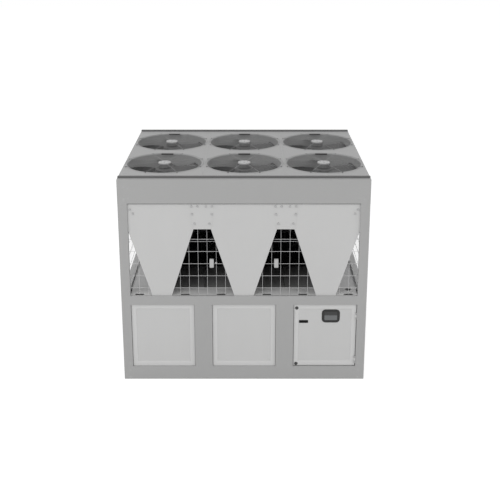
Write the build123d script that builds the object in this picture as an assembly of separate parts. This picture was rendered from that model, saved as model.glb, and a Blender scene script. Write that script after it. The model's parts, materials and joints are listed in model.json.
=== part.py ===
"""Modular air-cooled scroll chiller: three V-coil modules side by side under one six-fan deck.

Frame of the model: millimetres, +Z up, X across the front, -Y towards the front (the control door's
side). The origin is on the floor, at the centre of the casing's footprint.
"""

from build123d import *
import math
import os

# Casing
MODULE_COUNT = 3
MODULE_PITCH = 764
CASING_DEPTH = 2060
BASE_HEIGHT = 134
MID_RAIL_BOTTOM = 770
FLOOR_LEVEL = 858
CASING_TOP = 1985
FASCIA_HEIGHT = 225

# Sheet metal
FRAME_SHEET = 3
PANEL_SHEET = 2
SKIN_GAP = 0.3

# Posts, mullions and rails
POST_WIDTH = 86
POST_BEND_RADIUS = 4
MULLION_WIDTH = 166
STOP_DEPTH = 41
STOP_LIP = 15
RAIL_FLANGE = 60
LEDGE_DEPTH = 200
CROSS_MEMBER_WIDTH = 60
ANCHOR_SPACING_X = 1528
ANCHOR_HOLE_RADIUS = 9

# Floor ledge openings
DRAIN_SLOT_LENGTH = 88
DRAIN_SLOT_WIDTH = 30
DRAIN_SLOT_OFFSET = 168
DRAIN_SLOT_SETBACK = 42
DRAIN_HOLE_RADIUS = 29
DRAIN_HOLE_SETBACK = 162
DRAIN_HOLE_FROM_CENTRE = 986
TRAY_DEPTH = 20

# Lower panels
PANEL_RECESS = 14
PANEL_GAP = 3
PANEL_BORDER = 42
PANEL_PRESSING = 4
PRESSING_SLOPE = 5

# Control door
DOOR_CLEARANCE = 5
WINDOW_WIDTH = 170
WINDOW_HEIGHT = 133
WINDOW_CENTRE = (817, 648)
WINDOW_CORNER = 18
WINDOW_REBATE = 7
WINDOW_PROUD = 3
PULL_WIDTH = 86
PULL_HEIGHT = 29
PULL_CENTRE = (561, 592)
PULL_DEPTH = 16
PULL_RIM = 5
PULL_WALL = 2
LOCK_X = 495.4
LOCK_EDGE_DISTANCES = (17, 34)
LOCK_HEAD_RADIUS = 11
LOCK_HEAD_HEIGHT = 3
LOCK_SLOT_LENGTH = 15
LOCK_SLOT_WIDTH = 3
LOCK_SHAFT_RADIUS = 7
LOCK_RUNNING_CLEARANCE = 0.08
LOCK_CAM_REACH = 26
LOCK_CAM_WIDTH = 14
LOCK_CAM_THICKNESS = 3
HINGE_HEIGHTS = (205, 652)
HINGE_PIN_RADIUS = 3
HINGE_KNUCKLE_RADIUS = 6.5
HINGE_LENGTH = 72
HINGE_RUNNING_CLEARANCE = 0.05
HINGE_LEAF = 2
HINGE_LEAF_REACH = 34
HINGE_END_GAP = 0.3
HINGE_POST_GAP = 1

# Control box behind the door
BOX_DEPTH = 250
BOX_SIDE_SPACE = 20
BOX_LOCK_SPACE = 16
MOUNTING_PLATE_SHEET = 3
MOUNTING_PLATE_MARGIN = 30
MOUNTING_STUD_HEIGHT = 12
MOUNTING_STUD_RADIUS = 6

# V modules
V_FOOT_HALF = 90
V_HEAD_SPACE = 3
V_TOP_GAP = 8
COIL_THICKNESS = 60
COIL_INSET = 14
COIL_FOOT_HEIGHT = 30
COIL_POST_SPACE = 10
GUSSET_SHEET = 2
GUSSET_HEIGHT = 240
GUSSET_TOP_HALF = 112
GUSSET_FOOT_HALF = 84
PARTITION_FOOT_HALF = 78
PARTITION_HEAD_HALF = 22

# Wire guards
WIRE = 3
UPRIGHT_PITCH = 84
CROSS_WIRE_PITCH = 120
CROSS_WIRE_START = 72
SHORTEST_WIRE = 40
WIRE_LAYER_GAP = 0.2
GUARD_SETBACK = 9
SIDE_GUARD_SETBACK = 3
SENSOR_BOX_SIZE = (42, 26, 86)
SENSOR_BOX_CORNER = 4
SENSOR_BOX_HEIGHT = 1180
SENSOR_BOX_OFFSET = 83

# Fascia and deck
FASCIA_SHEET = 2
FASCIA_TOP_FLANGE = 65
SIDE_FOOT_FLANGE = 80
SIDE_HEAD_FLANGE = 22
DECK_SHEET = 3
DECK_SEAM = 2
SEAL_WIDTH = 30
SEAL_HEIGHT = 15

# Fans
FAN_ROW_SPACING = 880
THROAT_RADIUS = 355
THROAT_HEIGHT = 130
THROAT_SHEET = 3
THROAT_FLARE = 22
TIP_CLEARANCE = 7
HUB_RADIUS = 92
HUB_HEIGHT = 96
HUB_EDGE = 16
HUB_TOP_DROP = 44
BLADE_COUNT = 5
BLADE_ROOT_SINK = 8
BLADE_THICKNESS = 6
BLADE_CAMBER = 0.07
BLADE_ROOT_CHORD = 150
BLADE_TIP_CHORD = 250
BLADE_ROOT_PITCH = 38
BLADE_TIP_PITCH = 19
BLADE_SWEEP = 24
BLADE_SECTIONS = 4
MOTOR_RADIUS = 66
MOTOR_HEIGHT = 34
SHAFT_RADIUS = 12
SHAFT_CLEARANCE = 0.05
SHAFT_IN_HUB = 70
GUARD_RING_RADII = (368, 250, 132)
GUARD_BAR_WIDTH = 6
GUARD_BAR_HEIGHT = 3
GUARD_LAYER_GAP = 0.2
GUARD_ARMS = 4
GUARD_ARM_START = 45
GUARD_CAP_RADIUS = 74
GUARD_CAP_HEIGHT = 8

# Water connections at the back
STUB_OUTER_RADIUS = 44.45
STUB_WALL = 3.2
STUB_REACH = 90
STUB_INSIDE = 120
STUB_GROOVE_WIDTH = 9
STUB_GROOVE_DEPTH = 2
STUB_GROOVE_FROM_END = 16
STUB_HOLE_CLEARANCE = 6
STUB_SOCKET_RADIUS = 52
STUB_COLLAR_RADIUS = 64
STUB_COLLAR_SHEET = 4
STUB_HEIGHTS = (300, 560)

# Worked out from the sizes above
HALF_WIDTH = MODULE_COUNT * MODULE_PITCH / 2
HALF_DEPTH = CASING_DEPTH / 2
MODULE_CENTRES = [(index - (MODULE_COUNT - 1) / 2) * MODULE_PITCH for index in range(MODULE_COUNT)]
SEAMS = [centre + MODULE_PITCH / 2 for centre in MODULE_CENTRES[:-1]]
STUB_X = MODULE_CENTRES[0]
POST_INNER_X = HALF_WIDTH - POST_WIDTH
POST_INNER_Y = HALF_DEPTH - POST_WIDTH
PANEL_FACE_Y = -HALF_DEPTH + PANEL_RECESS
STOP_FACE_Y = -HALF_DEPTH + STOP_DEPTH
STOP_BACK_Y = STOP_FACE_Y + FRAME_SHEET
PANEL_PAN_DEPTH = STOP_DEPTH - PANEL_RECESS - SKIN_GAP
DOOR_PAN_DEPTH = STOP_DEPTH - PANEL_RECESS - DOOR_CLEARANCE
FASCIA_BOTTOM = CASING_TOP - FASCIA_HEIGHT
V_TOP = FASCIA_BOTTOM - V_TOP_GAP
V_SLOPE = (MODULE_PITCH / 2 - V_HEAD_SPACE / 2 - V_FOOT_HALF) / (V_TOP - FLOOR_LEVEL)
V_TILT = math.atan(V_SLOPE)
GUSSET_BOTTOM = V_TOP - GUSSET_HEIGHT
COIL_HALF_LENGTH = POST_INNER_Y - COIL_POST_SPACE
DECK_HALF_DEPTH = HALF_DEPTH - FASCIA_TOP_FLANGE
DECK_UNDERSIDE = CASING_TOP - DECK_SHEET
TOTAL_HEIGHT = CASING_TOP + SEAL_HEIGHT


def folded_outline(corners, thickness):
    """Closed outline of a bent sheet: the line of corners, and the same line moved to its left."""
    path = [Vector(*corner) for corner in corners]
    runs = [(after - before).normalized() for before, after in zip(path, path[1:])]
    normals = [Vector(-run.Y, run.X) for run in runs]
    moved = []
    for index, corner in enumerate(path):
        before = normals[max(index - 1, 0)]
        after = normals[min(index, len(normals) - 1)]
        mitre = (before + after) * (1 / (1 + before.dot(after)))
        moved.append(corner + mitre * thickness)
    return Polyline(*path, *reversed(moved), close=True)


def run_x(outline, low, high):
    """Carry an outline drawn in (Y, Z) along X."""
    return extrude(Plane.YZ.offset(low) * make_face(outline), amount=high - low)


def run_y(outline, low, high):
    """Carry an outline drawn in (X, Z) along Y."""
    return extrude(Plane.XZ.offset(-high) * make_face(outline), amount=high - low)


def run_z(outline, low, high):
    """Carry an outline drawn in (X, Y) along Z."""
    return extrude(Plane.XY.offset(low) * make_face(outline), amount=high - low)


def block(low, high):
    """Rectangular solid between two opposite corners."""
    size = [after - before for before, after in zip(low, high)]
    return Pos(*low) * Box(*size, align=(Align.MIN, Align.MIN, Align.MIN))


def to_back(shape):
    """The same piece on the back of the casing."""
    return mirror(shape, about=Plane.XZ)


def to_left(shape):
    """The same piece on the left of the casing."""
    return mirror(shape, about=Plane.YZ)


def save(name, *shapes):
    """Write the solids of one named piece."""
    solids = [solid for shape in shapes for solid in shape.solids()]
    whole = solids[0] if len(solids) == 1 else Compound(solids)
    export_step(whole, f"parts/{name}.step")


def v_half_width(height):
    """Half the width of a V module at a height."""
    return V_FOOT_HALF + (height - FLOOR_LEVEL) * V_SLOPE


def channel_along_x(bottom, top, head_flange, foot_flange, half_length):
    """C-shaped front rail, open to the inside."""
    front = -HALF_DEPTH
    corners = [(front + head_flange, top), (front, top), (front, bottom), (front + foot_flange, bottom)]
    return run_x(folded_outline(corners, FRAME_SHEET), -half_length, half_length)


def channel_along_y(bottom, top, flange, half_length):
    """C-shaped right-hand side rail, open to the inside."""
    side = HALF_WIDTH
    corners = [(side - flange, bottom), (side, bottom), (side, top), (side - flange, top)]
    return run_y(folded_outline(corners, FRAME_SHEET), -half_length, half_length)


def base_frame():
    """Base rails, side rails and cross members."""
    rail = channel_along_x(0, BASE_HEIGHT, RAIL_FLANGE, RAIL_FLANGE, POST_INNER_X)
    for side in (-1, 1):
        anchor = Cylinder(ANCHOR_HOLE_RADIUS, 4 * FRAME_SHEET)
        rail -= Pos(side * ANCHOR_SPACING_X / 2, -HALF_DEPTH + RAIL_FLANGE / 2, 0) * anchor
    save("base_rails", rail, to_back(rail))
    side_rail = channel_along_y(0, BASE_HEIGHT, RAIL_FLANGE, POST_INNER_Y)
    save("base_side_rails", side_rail, to_left(side_rail))
    reach = HALF_DEPTH - RAIL_FLANGE
    members = []
    for seam in SEAMS:
        low = seam - CROSS_MEMBER_WIDTH / 2
        high = seam + CROSS_MEMBER_WIDTH / 2
        corners = [(high, 0), (low, 0), (low, BASE_HEIGHT), (high, BASE_HEIGHT)]
        outline = folded_outline(corners[::-1], FRAME_SHEET)
        members.append(run_y(outline, -reach, reach))
    save("base_cross_members", *members)


def corner_posts():
    """Four folded corner posts, with stop lips beside the lower panels only."""
    def front_left(corners):
        placed = [(-HALF_WIDTH + across, -HALF_DEPTH + back) for across, back in corners]
        return folded_outline(placed, FRAME_SHEET)
    reach = POST_WIDTH
    lip = POST_WIDTH + STOP_LIP
    depth = STOP_DEPTH
    plain = [(depth, reach), (0, reach), (0, 0), (reach, 0), (reach, depth)]
    lipped = [(depth, lip), (depth, reach), (0, reach), (0, 0), (reach, 0), (reach, depth), (lip, depth)]
    tall = run_z(front_left(plain), 0, FASCIA_BOTTOM)
    short = run_z(front_left(lipped), BASE_HEIGHT, MID_RAIL_BOTTOM)
    post = tall + short
    corner = (post.edges() | Axis.Z).sort_by_distance((-HALF_WIDTH, -HALF_DEPTH, FASCIA_BOTTOM / 2))[0]
    post = fillet(corner, POST_BEND_RADIUS)
    row = [post, to_left(post)]
    save("corner_posts", *row, *[to_back(each) for each in row])


def mullions():
    """Hat-section mullions between the lower panels, on all four sides."""
    def hat(centre, front):
        low = centre - MULLION_WIDTH / 2
        high = centre + MULLION_WIDTH / 2
        back = front + STOP_DEPTH
        corners = [(low - STOP_LIP, back), (low, back), (low, front)]
        corners += [(high, front), (high, back), (high + STOP_LIP, back)]
        return run_z(folded_outline(corners, FRAME_SHEET), BASE_HEIGHT, MID_RAIL_BOTTOM)
    front_row = [hat(seam, -HALF_DEPTH) for seam in SEAMS]
    right = Rot(0, 0, 90) * hat(0, -HALF_WIDTH)
    save("mullions", *front_row, *[to_back(each) for each in front_row], right, to_left(right))


def mid_rails():
    """Rails over the lower panels, with the slotted ledge that forms the edge of the coil floor."""
    rail = channel_along_x(MID_RAIL_BOTTOM, FLOOR_LEVEL, LEDGE_DEPTH, RAIL_FLANGE, POST_INNER_X)
    seam_lines = [-HALF_WIDTH, *SEAMS, HALF_WIDTH]
    for seam in seam_lines:
        for side in (-1, 1):
            place = seam + side * DRAIN_SLOT_OFFSET
            if abs(place) > HALF_WIDTH:
                continue
            slot = SlotOverall(DRAIN_SLOT_LENGTH, DRAIN_SLOT_WIDTH)
            cutter = extrude(slot, amount=2 * FRAME_SHEET, both=True)
            rail -= Pos(place, -HALF_DEPTH + DRAIN_SLOT_SETBACK, FLOOR_LEVEL) * cutter
    back_rail = to_back(rail)
    hole = Cylinder(DRAIN_HOLE_RADIUS, 4 * FRAME_SHEET)
    rail -= Pos(DRAIN_HOLE_FROM_CENTRE, -HALF_DEPTH + DRAIN_HOLE_SETBACK, FLOOR_LEVEL) * hole
    save("mid_rails", rail, back_rail)
    side_rail = channel_along_y(MID_RAIL_BOTTOM, FLOOR_LEVEL, RAIL_FLANGE, POST_INNER_Y)
    save("mid_side_rails", side_rail, to_left(side_rail))


def drip_trays():
    """One shallow tray under each V, hung between the ledges."""
    reach = HALF_DEPTH - LEDGE_DEPTH
    trays = []
    for centre in MODULE_CENTRES:
        low = max(centre - MODULE_PITCH / 2 + DECK_SEAM / 2, -HALF_WIDTH + RAIL_FLANGE)
        high = min(centre + MODULE_PITCH / 2 - DECK_SEAM / 2, HALF_WIDTH - RAIL_FLANGE)
        bottom = FLOOR_LEVEL - TRAY_DEPTH
        body = block((low, -reach, bottom), (high, reach, FLOOR_LEVEL))
        wall = PANEL_SHEET
        hollow = block((low + wall, -reach + wall, bottom + wall), (high - wall, reach - wall, FLOOR_LEVEL))
        trays.append(body - hollow)
    save("drip_trays", *trays)


def pressed_pan(low, high, bottom, top, face, depth):
    """Sheet pan facing the front: returned edges, and a field pressed back inside a flat border."""
    def form(shrink, back):
        left, right = low + shrink, high - shrink
        foot, head = bottom + shrink, top - shrink
        body = block((left, face + back, foot), (right, face + depth + back, head))
        middle = ((low + high) / 2, (bottom + top) / 2)
        rim_size = (high - low - 2 * PANEL_BORDER, top - bottom - 2 * PANEL_BORDER)
        field_size = [side - 2 * PRESSING_SLOPE for side in rim_size]
        front_plane = Plane(origin=(middle[0], face + back, middle[1]), x_dir=(1, 0, 0), z_dir=(0, -1, 0))
        rim = front_plane * Rectangle(*rim_size)
        field = front_plane.offset(-PANEL_PRESSING) * Rectangle(*field_size)
        return body - loft([rim, field])
    pan = form(0, 0) - form(PANEL_SHEET, PANEL_SHEET)
    return pan & block((low, face, bottom), (high, face + depth, top))


def panel_bays():
    """Left and right edges of the three front openings."""
    edges = [-POST_INNER_X]
    for seam in SEAMS:
        edges += [seam - MULLION_WIDTH / 2, seam + MULLION_WIDTH / 2]
    edges.append(POST_INNER_X)
    return list(zip(edges[::2], edges[1::2]))


def fixed_panels():
    """Plain pressed panels on the front, back and sides."""
    def front_panel(low, high):
        foot = BASE_HEIGHT + SKIN_GAP
        head = MID_RAIL_BOTTOM - PANEL_GAP
        return pressed_pan(low + PANEL_GAP, high - PANEL_GAP, foot, head, PANEL_FACE_Y, PANEL_PAN_DEPTH)
    bays = panel_bays()
    save("front_panel_left", front_panel(*bays[0]))
    save("front_panel_middle", front_panel(*bays[1]))
    back_row = []
    for low, high in bays:
        panel = to_back(front_panel(low, high))
        for height in STUB_HEIGHTS:
            hole = Cylinder(STUB_OUTER_RADIUS + STUB_HOLE_CLEARANCE, 2 * STOP_DEPTH)
            panel -= Pos(STUB_X, HALF_DEPTH - PANEL_RECESS, height) * Rot(90, 0, 0) * hole
        back_row.append(panel)
    save("back_panels", *back_row)
    side_bay = (MULLION_WIDTH / 2, POST_INNER_Y)
    near = front_panel(*side_bay)
    far = to_left(near)
    shift = Pos(HALF_WIDTH - HALF_DEPTH, 0, 0)
    right = [shift * Rot(0, 0, 90) * each for each in (near, far)]
    save("side_panels_right", *right)
    save("side_panels_left", *[to_left(each) for each in right])


def door_edges():
    """Left, right, bottom and top edge of the control door."""
    low, high = panel_bays()[-1]
    return (low + DOOR_CLEARANCE, high - DOOR_CLEARANCE, BASE_HEIGHT + DOOR_CLEARANCE,
            MID_RAIL_BOTTOM - DOOR_CLEARANCE)


def facing_front(x, y, z):
    """Plane whose normal points out of the front, at a point."""
    return Plane(origin=(x, y, z), x_dir=(1, 0, 0), z_dir=(0, -1, 0))


def hinge_axis():
    """Where the door turns: beside the post, in front of the door's face."""
    x = POST_INNER_X - HINGE_KNUCKLE_RADIUS - HINGE_POST_GAP
    y = PANEL_FACE_Y - HINGE_KNUCKLE_RADIUS - SKIN_GAP
    return x, y


def lock_heights():
    """Heights of the lower and the upper lock."""
    _, _, bottom, top = door_edges()
    return bottom + LOCK_EDGE_DISTANCES[0], top - LOCK_EDGE_DISTANCES[1]


def control_door():
    """The hinged door with its window, pull and lock holes, and its half of the hinges."""
    low, high, bottom, top = door_edges()
    door = pressed_pan(low, high, bottom, top, PANEL_FACE_Y, DOOR_PAN_DEPTH)
    field = PANEL_FACE_Y + PANEL_PRESSING
    through = 4 * PANEL_SHEET
    window_plane = facing_front(WINDOW_CENTRE[0], field, WINDOW_CENTRE[1])
    hole_size = (WINDOW_WIDTH - 2 * WINDOW_REBATE, WINDOW_HEIGHT - 2 * WINDOW_REBATE)
    hole = RectangleRounded(*hole_size, WINDOW_CORNER - WINDOW_REBATE)
    door -= extrude(window_plane * hole, amount=through, both=True)
    pull_plane = facing_front(PULL_CENTRE[0], field, PULL_CENTRE[1])
    pull_size = (PULL_WIDTH - 2 * PULL_RIM, PULL_HEIGHT - 2 * PULL_RIM)
    pull_hole = RectangleRounded(*pull_size, PULL_RIM)
    door -= extrude(pull_plane * pull_hole, amount=through, both=True)
    for height in lock_heights():
        hole = Circle(LOCK_SHAFT_RADIUS + LOCK_RUNNING_CLEARANCE)
        door -= extrude(facing_front(LOCK_X, PANEL_FACE_Y, height) * hole, amount=through, both=True)
    axis_x, axis_y = hinge_axis()
    third = HINGE_LENGTH / 3
    for middle in HINGE_HEIGHTS:
        knuckle = Cylinder(HINGE_KNUCKLE_RADIUS, third - 2 * HINGE_END_GAP)
        knuckle = Pos(axis_x, axis_y, middle) * knuckle
        half = third / 2 - HINGE_END_GAP
        leaf = block((axis_x - HINGE_LEAF_REACH, PANEL_FACE_Y - HINGE_LEAF, middle - half),
                     (axis_x, PANEL_FACE_Y, middle + half))
        door += knuckle + leaf
        bore = Cylinder(HINGE_PIN_RADIUS + HINGE_RUNNING_CLEARANCE, HINGE_LENGTH)
        door -= Pos(axis_x, axis_y, middle) * bore
    save("control_door", door)
    pane = RectangleRounded(WINDOW_WIDTH, WINDOW_HEIGHT, WINDOW_CORNER)
    plug_size = [side - SKIN_GAP for side in hole_size]
    plug = RectangleRounded(*plug_size, WINDOW_CORNER - WINDOW_REBATE)
    window = extrude(window_plane * pane, amount=WINDOW_PROUD)
    window += extrude(window_plane * plug, amount=-2 * PANEL_SHEET)
    save("door_window", window)
    rim = extrude(pull_plane * RectangleRounded(PULL_WIDTH, PULL_HEIGHT, PULL_RIM), amount=PULL_WALL)
    cup_size = [side - SKIN_GAP for side in pull_size]
    cup = extrude(pull_plane * RectangleRounded(*cup_size, PULL_RIM - SKIN_GAP), amount=-PULL_DEPTH)
    pocket_size = [side - 2 * PULL_WALL for side in cup_size]
    pocket = RectangleRounded(*pocket_size, PULL_WALL)
    hollow = extrude(pull_plane.offset(PULL_WALL) * pocket, amount=-PULL_DEPTH)
    save("door_pull", rim + cup - hollow)


def door_hinges():
    """The fixed half of the hinges: knuckles, pins and leaves on the post."""
    axis_x, axis_y = hinge_axis()
    third = HINGE_LENGTH / 3
    hinges = []
    for middle in HINGE_HEIGHTS:
        pin = Pos(axis_x, axis_y, middle) * Cylinder(HINGE_PIN_RADIUS, HINGE_LENGTH)
        hinge = pin
        for side in (-1, 1):
            centre = middle + side * third
            knuckle = Pos(axis_x, axis_y, centre) * Cylinder(HINGE_KNUCKLE_RADIUS, third)
            tab = block((axis_x, axis_y - HINGE_LEAF, centre - third / 2),
                        (POST_INNER_X, axis_y, centre + third / 2))
            hinge += knuckle + tab
        leaf = block((POST_INNER_X - HINGE_LEAF, axis_y - HINGE_LEAF, middle - HINGE_LENGTH / 2),
                     (POST_INNER_X, STOP_FACE_Y - SKIN_GAP, middle + HINGE_LENGTH / 2))
        turning_room = Cylinder(HINGE_KNUCKLE_RADIUS + HINGE_END_GAP, third)
        leaf -= Pos(axis_x, axis_y, middle) * turning_room
        hinges.append(hinge + leaf)
    save("door_hinges", *hinges)


def door_locks():
    """Two quarter-turn locks: head, shaft and cam. Both cams rest along the door's edge, unlocked."""
    def lock(height, cam_direction):
        back = STOP_BACK_Y + DOOR_CLEARANCE
        plane = facing_front(LOCK_X, PANEL_FACE_Y, height)
        head = extrude(plane * Circle(LOCK_HEAD_RADIUS), amount=LOCK_HEAD_HEIGHT)
        slot = Box(LOCK_SLOT_LENGTH, LOCK_HEAD_HEIGHT, LOCK_SLOT_WIDTH)
        head -= Pos(LOCK_X, PANEL_FACE_Y - LOCK_HEAD_HEIGHT, height) * slot
        shaft_length = back + LOCK_CAM_THICKNESS - PANEL_FACE_Y
        shaft = extrude(plane * Circle(LOCK_SHAFT_RADIUS), amount=-shaft_length)
        ends = (height - cam_direction * LOCK_CAM_WIDTH / 2, height + cam_direction * LOCK_CAM_REACH)
        foot, tip = sorted(ends)
        cam = block((LOCK_X - LOCK_CAM_WIDTH / 2, back, foot),
                    (LOCK_X + LOCK_CAM_WIDTH / 2, back + LOCK_CAM_THICKNESS, tip))
        return head + shaft + cam
    lower, upper = lock_heights()
    save("lower_lock", lock(lower, 1))
    save("upper_lock", lock(upper, -1))


def control_box():
    """Open-fronted sheet cabinet behind the door, with a bare mounting plate on studs."""
    low = LOCK_X + LOCK_CAM_WIDTH / 2 + BOX_LOCK_SPACE
    high = POST_INNER_X - BOX_SIDE_SPACE
    front = STOP_BACK_Y + DOOR_CLEARANCE
    back = front + BOX_DEPTH
    bottom, top = BASE_HEIGHT, MID_RAIL_BOTTOM
    body = block((low, front, bottom), (high, back, top))
    wall = PANEL_SHEET
    body -= block((low + wall, front, bottom + wall), (high - wall, back - wall, top - wall))
    margin = MOUNTING_PLATE_MARGIN
    plate_back = back - wall - MOUNTING_STUD_HEIGHT
    body += block((low + margin, plate_back - MOUNTING_PLATE_SHEET, bottom + margin),
                  (high - margin, plate_back, top - margin))
    standing = (Align.CENTER, Align.CENTER, Align.MIN)
    stud = Cylinder(MOUNTING_STUD_RADIUS, MOUNTING_STUD_HEIGHT + wall, align=standing)
    for x in (low + 2 * margin, high - 2 * margin):
        for z in (bottom + 2 * margin, top - 2 * margin):
            body += Pos(x, back, z) * Rot(90, 0, 0) * stud
    save("control_box", body)


def coils():
    """Six inclined finned blocks, two to a V, and the channel that each pair stands on."""
    inset = COIL_INSET / math.cos(V_TILT)
    thickness = COIL_THICKNESS / math.cos(V_TILT)
    foot = FLOOR_LEVEL - TRAY_DEPTH + PANEL_SHEET + COIL_FOOT_HEIGHT
    slabs = []
    feet = []
    for centre in MODULE_CENTRES:
        for side in (-1, 1):
            outline = []
            corners = ((foot, 0), (FASCIA_BOTTOM, 0), (FASCIA_BOTTOM, thickness), (foot, thickness))
            for height, extra in corners:
                outline.append((centre + side * (v_half_width(height) - inset - extra), height))
            slabs.append(run_y(Polyline(*outline, close=True), -COIL_HALF_LENGTH, COIL_HALF_LENGTH))
        reach = HALF_DEPTH - LEDGE_DEPTH - 2 * PANEL_SHEET
        half = V_FOOT_HALF
        bottom = foot - COIL_FOOT_HEIGHT
        corners = [(centre + half, bottom), (centre + half, foot)]
        corners += [(centre - half, foot), (centre - half, bottom)]
        feet.append(run_y(folded_outline(corners, FRAME_SHEET), -reach, reach))
    save("coils", *slabs)
    save("coil_feet", *feet)


def v_end_plates():
    """Folded plates that close the ends of the V modules, and the gussets that join them."""
    face = PANEL_FACE_Y
    back = -COIL_HALF_LENGTH - SKIN_GAP
    limit = POST_INNER_X - SKIN_GAP
    keep = block((-limit, face, FLOOR_LEVEL), (limit, back, V_TOP))
    plates = []
    for centre in MODULE_CENTRES:
        def outline(shrink, foot, head):
            half_foot = v_half_width(foot) - shrink
            half_head = v_half_width(head) - shrink
            return Polyline((centre - half_foot, foot), (centre + half_foot, foot),
                            (centre + half_head, head), (centre - half_head, head), close=True)
        sheet = FRAME_SHEET / math.cos(V_TILT)
        plate = run_y(outline(0, FLOOR_LEVEL, V_TOP), face, back)
        plate -= run_y(outline(sheet, FLOOR_LEVEL, V_TOP), face + FRAME_SHEET, back)
        plates.append(plate & keep)
    save("v_end_plates_front", *plates)
    save("v_end_plates_back", *[to_back(plate) for plate in plates])
    gussets = []
    foot = GUSSET_FOOT_HALF
    for seam in SEAMS:
        outline = Polyline((seam - foot, GUSSET_BOTTOM), (seam + foot, GUSSET_BOTTOM),
                           (seam + GUSSET_TOP_HALF, V_TOP), (seam - GUSSET_TOP_HALF, V_TOP), close=True)
        gussets.append(run_y(outline, face - GUSSET_SHEET, face))
    save("gussets", *gussets, *[to_back(gusset) for gusset in gussets])


def aisle_outlines():
    """Outlines, in (X, Z), of the spaces between the V ends: the middle ones, then the end ones."""
    gap = SKIN_GAP
    middle = []
    for seam in SEAMS:
        foot = MODULE_PITCH / 2 - v_half_width(FLOOR_LEVEL) - gap
        head = MODULE_PITCH / 2 - v_half_width(GUSSET_BOTTOM) - gap
        middle.append([(seam - foot, FLOOR_LEVEL), (seam + foot, FLOOR_LEVEL),
                       (seam + head, GUSSET_BOTTOM), (seam - head, GUSSET_BOTTOM)])
    outer = MODULE_CENTRES[-1]
    meets_post = FLOOR_LEVEL + (POST_INNER_X - outer - V_FOOT_HALF) / V_SLOPE
    foot = outer + V_FOOT_HALF + gap
    inner = POST_INNER_X - gap
    end = [(foot, FLOOR_LEVEL), (inner, FLOOR_LEVEL), (inner, meets_post - 2 * gap / V_SLOPE)]
    return middle, end


def crossed_wires(outline, uprights, heights):
    """Upright wires in one layer and cross wires in the next, all cut to an outline in (X, Z)."""
    region = run_y(Polyline(*outline, close=True), 0, 2 * WIRE + WIRE_LAYER_GAP)
    low = min(z for _, z in outline)
    high = max(z for _, z in outline)
    left = min(x for x, _ in outline)
    right = max(x for x, _ in outline)
    layer = WIRE + WIRE_LAYER_GAP
    bars = [block((x - WIRE / 2, 0, low), (x + WIRE / 2, WIRE, high)) for x in uprights]
    bars += [block((left, layer, z - WIRE / 2), (right, layer + WIRE, z + WIRE / 2)) for z in heights]
    return [bar & region for bar in bars]


def cross_wire_heights(top):
    """Heights of the cross wires up to a level."""
    count = int((top - FLOOR_LEVEL - CROSS_WIRE_START - WIRE) // CROSS_WIRE_PITCH) + 1
    return [FLOOR_LEVEL + CROSS_WIRE_START + index * CROSS_WIRE_PITCH for index in range(count)]


def uprights_between(centre, reach):
    """Places of the uprights to both sides of a seam, short of where the opening ends."""
    half_count = int(reach // UPRIGHT_PITCH) + 1
    places = [centre + (index + 0.5) * UPRIGHT_PITCH for index in range(-half_count, half_count)]
    return [x for x in places if abs(x - centre) < reach - SHORTEST_WIRE * V_SLOPE]


def wire_guards():
    """Welded wire guards over the front openings and the sides, and closing plates at the back."""
    middle, end = aisle_outlines()
    place = Pos(0, PANEL_FACE_Y + GUARD_SETBACK, 0)
    front = []
    for seam, outline in zip(SEAMS, middle):
        uprights = uprights_between(seam, outline[1][0] - seam)
        front += crossed_wires(outline, uprights, cross_wire_heights(GUSSET_BOTTOM))
    (start, _), (stop, _), (_, head) = end
    count = int((stop - start - SHORTEST_WIRE * V_SLOPE) // UPRIGHT_PITCH)
    uprights = [stop - (index + 1) * UPRIGHT_PITCH for index in range(count)]
    end_wires = crossed_wires(end, uprights, cross_wire_heights(head - CROSS_WIRE_PITCH / 2))
    front += end_wires
    front += [to_left(each) for each in end_wires]
    save("wire_guard_front", *[place * each for each in front])
    closing = []
    for outline in (*middle, end, [(-x, z) for x, z in end]):
        plate = run_y(Polyline(*outline, close=True), PANEL_FACE_Y, PANEL_FACE_Y + PANEL_SHEET)
        closing.append(to_back(plate))
    save("back_closing_plates", *closing)
    half = POST_INNER_Y - SKIN_GAP
    top = FASCIA_BOTTOM - SKIN_GAP
    outline = [(-half, FLOOR_LEVEL), (half, FLOOR_LEVEL), (half, top), (-half, top)]
    steps = int((half - WIRE) // UPRIGHT_PITCH)
    uprights = [index * UPRIGHT_PITCH for index in range(-steps, steps + 1)]
    wires = crossed_wires(outline, uprights, cross_wire_heights(top))
    right = [Pos(HALF_WIDTH - SIDE_GUARD_SETBACK, 0, 0) * Rot(0, 0, 90) * each for each in wires]
    save("wire_guard_right", *right)
    save("wire_guard_left", *[to_left(each) for each in right])


def sensor_boxes():
    """Two small sensor boxes on the cross wires of the middle guards."""
    boxes = []
    width, depth, height = SENSOR_BOX_SIZE
    back = PANEL_FACE_Y + GUARD_SETBACK + WIRE + WIRE_LAYER_GAP - SKIN_GAP
    for side in (-1, 1):
        x = side * (SEAMS[-1] - SENSOR_BOX_OFFSET)
        box = block((x - width / 2, back - depth, SENSOR_BOX_HEIGHT - height / 2),
                    (x + width / 2, back, SENSOR_BOX_HEIGHT + height / 2))
        boxes.append(fillet(box.edges() | Axis.Y, SENSOR_BOX_CORNER))
    save("sensor_boxes", *boxes)


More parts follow.
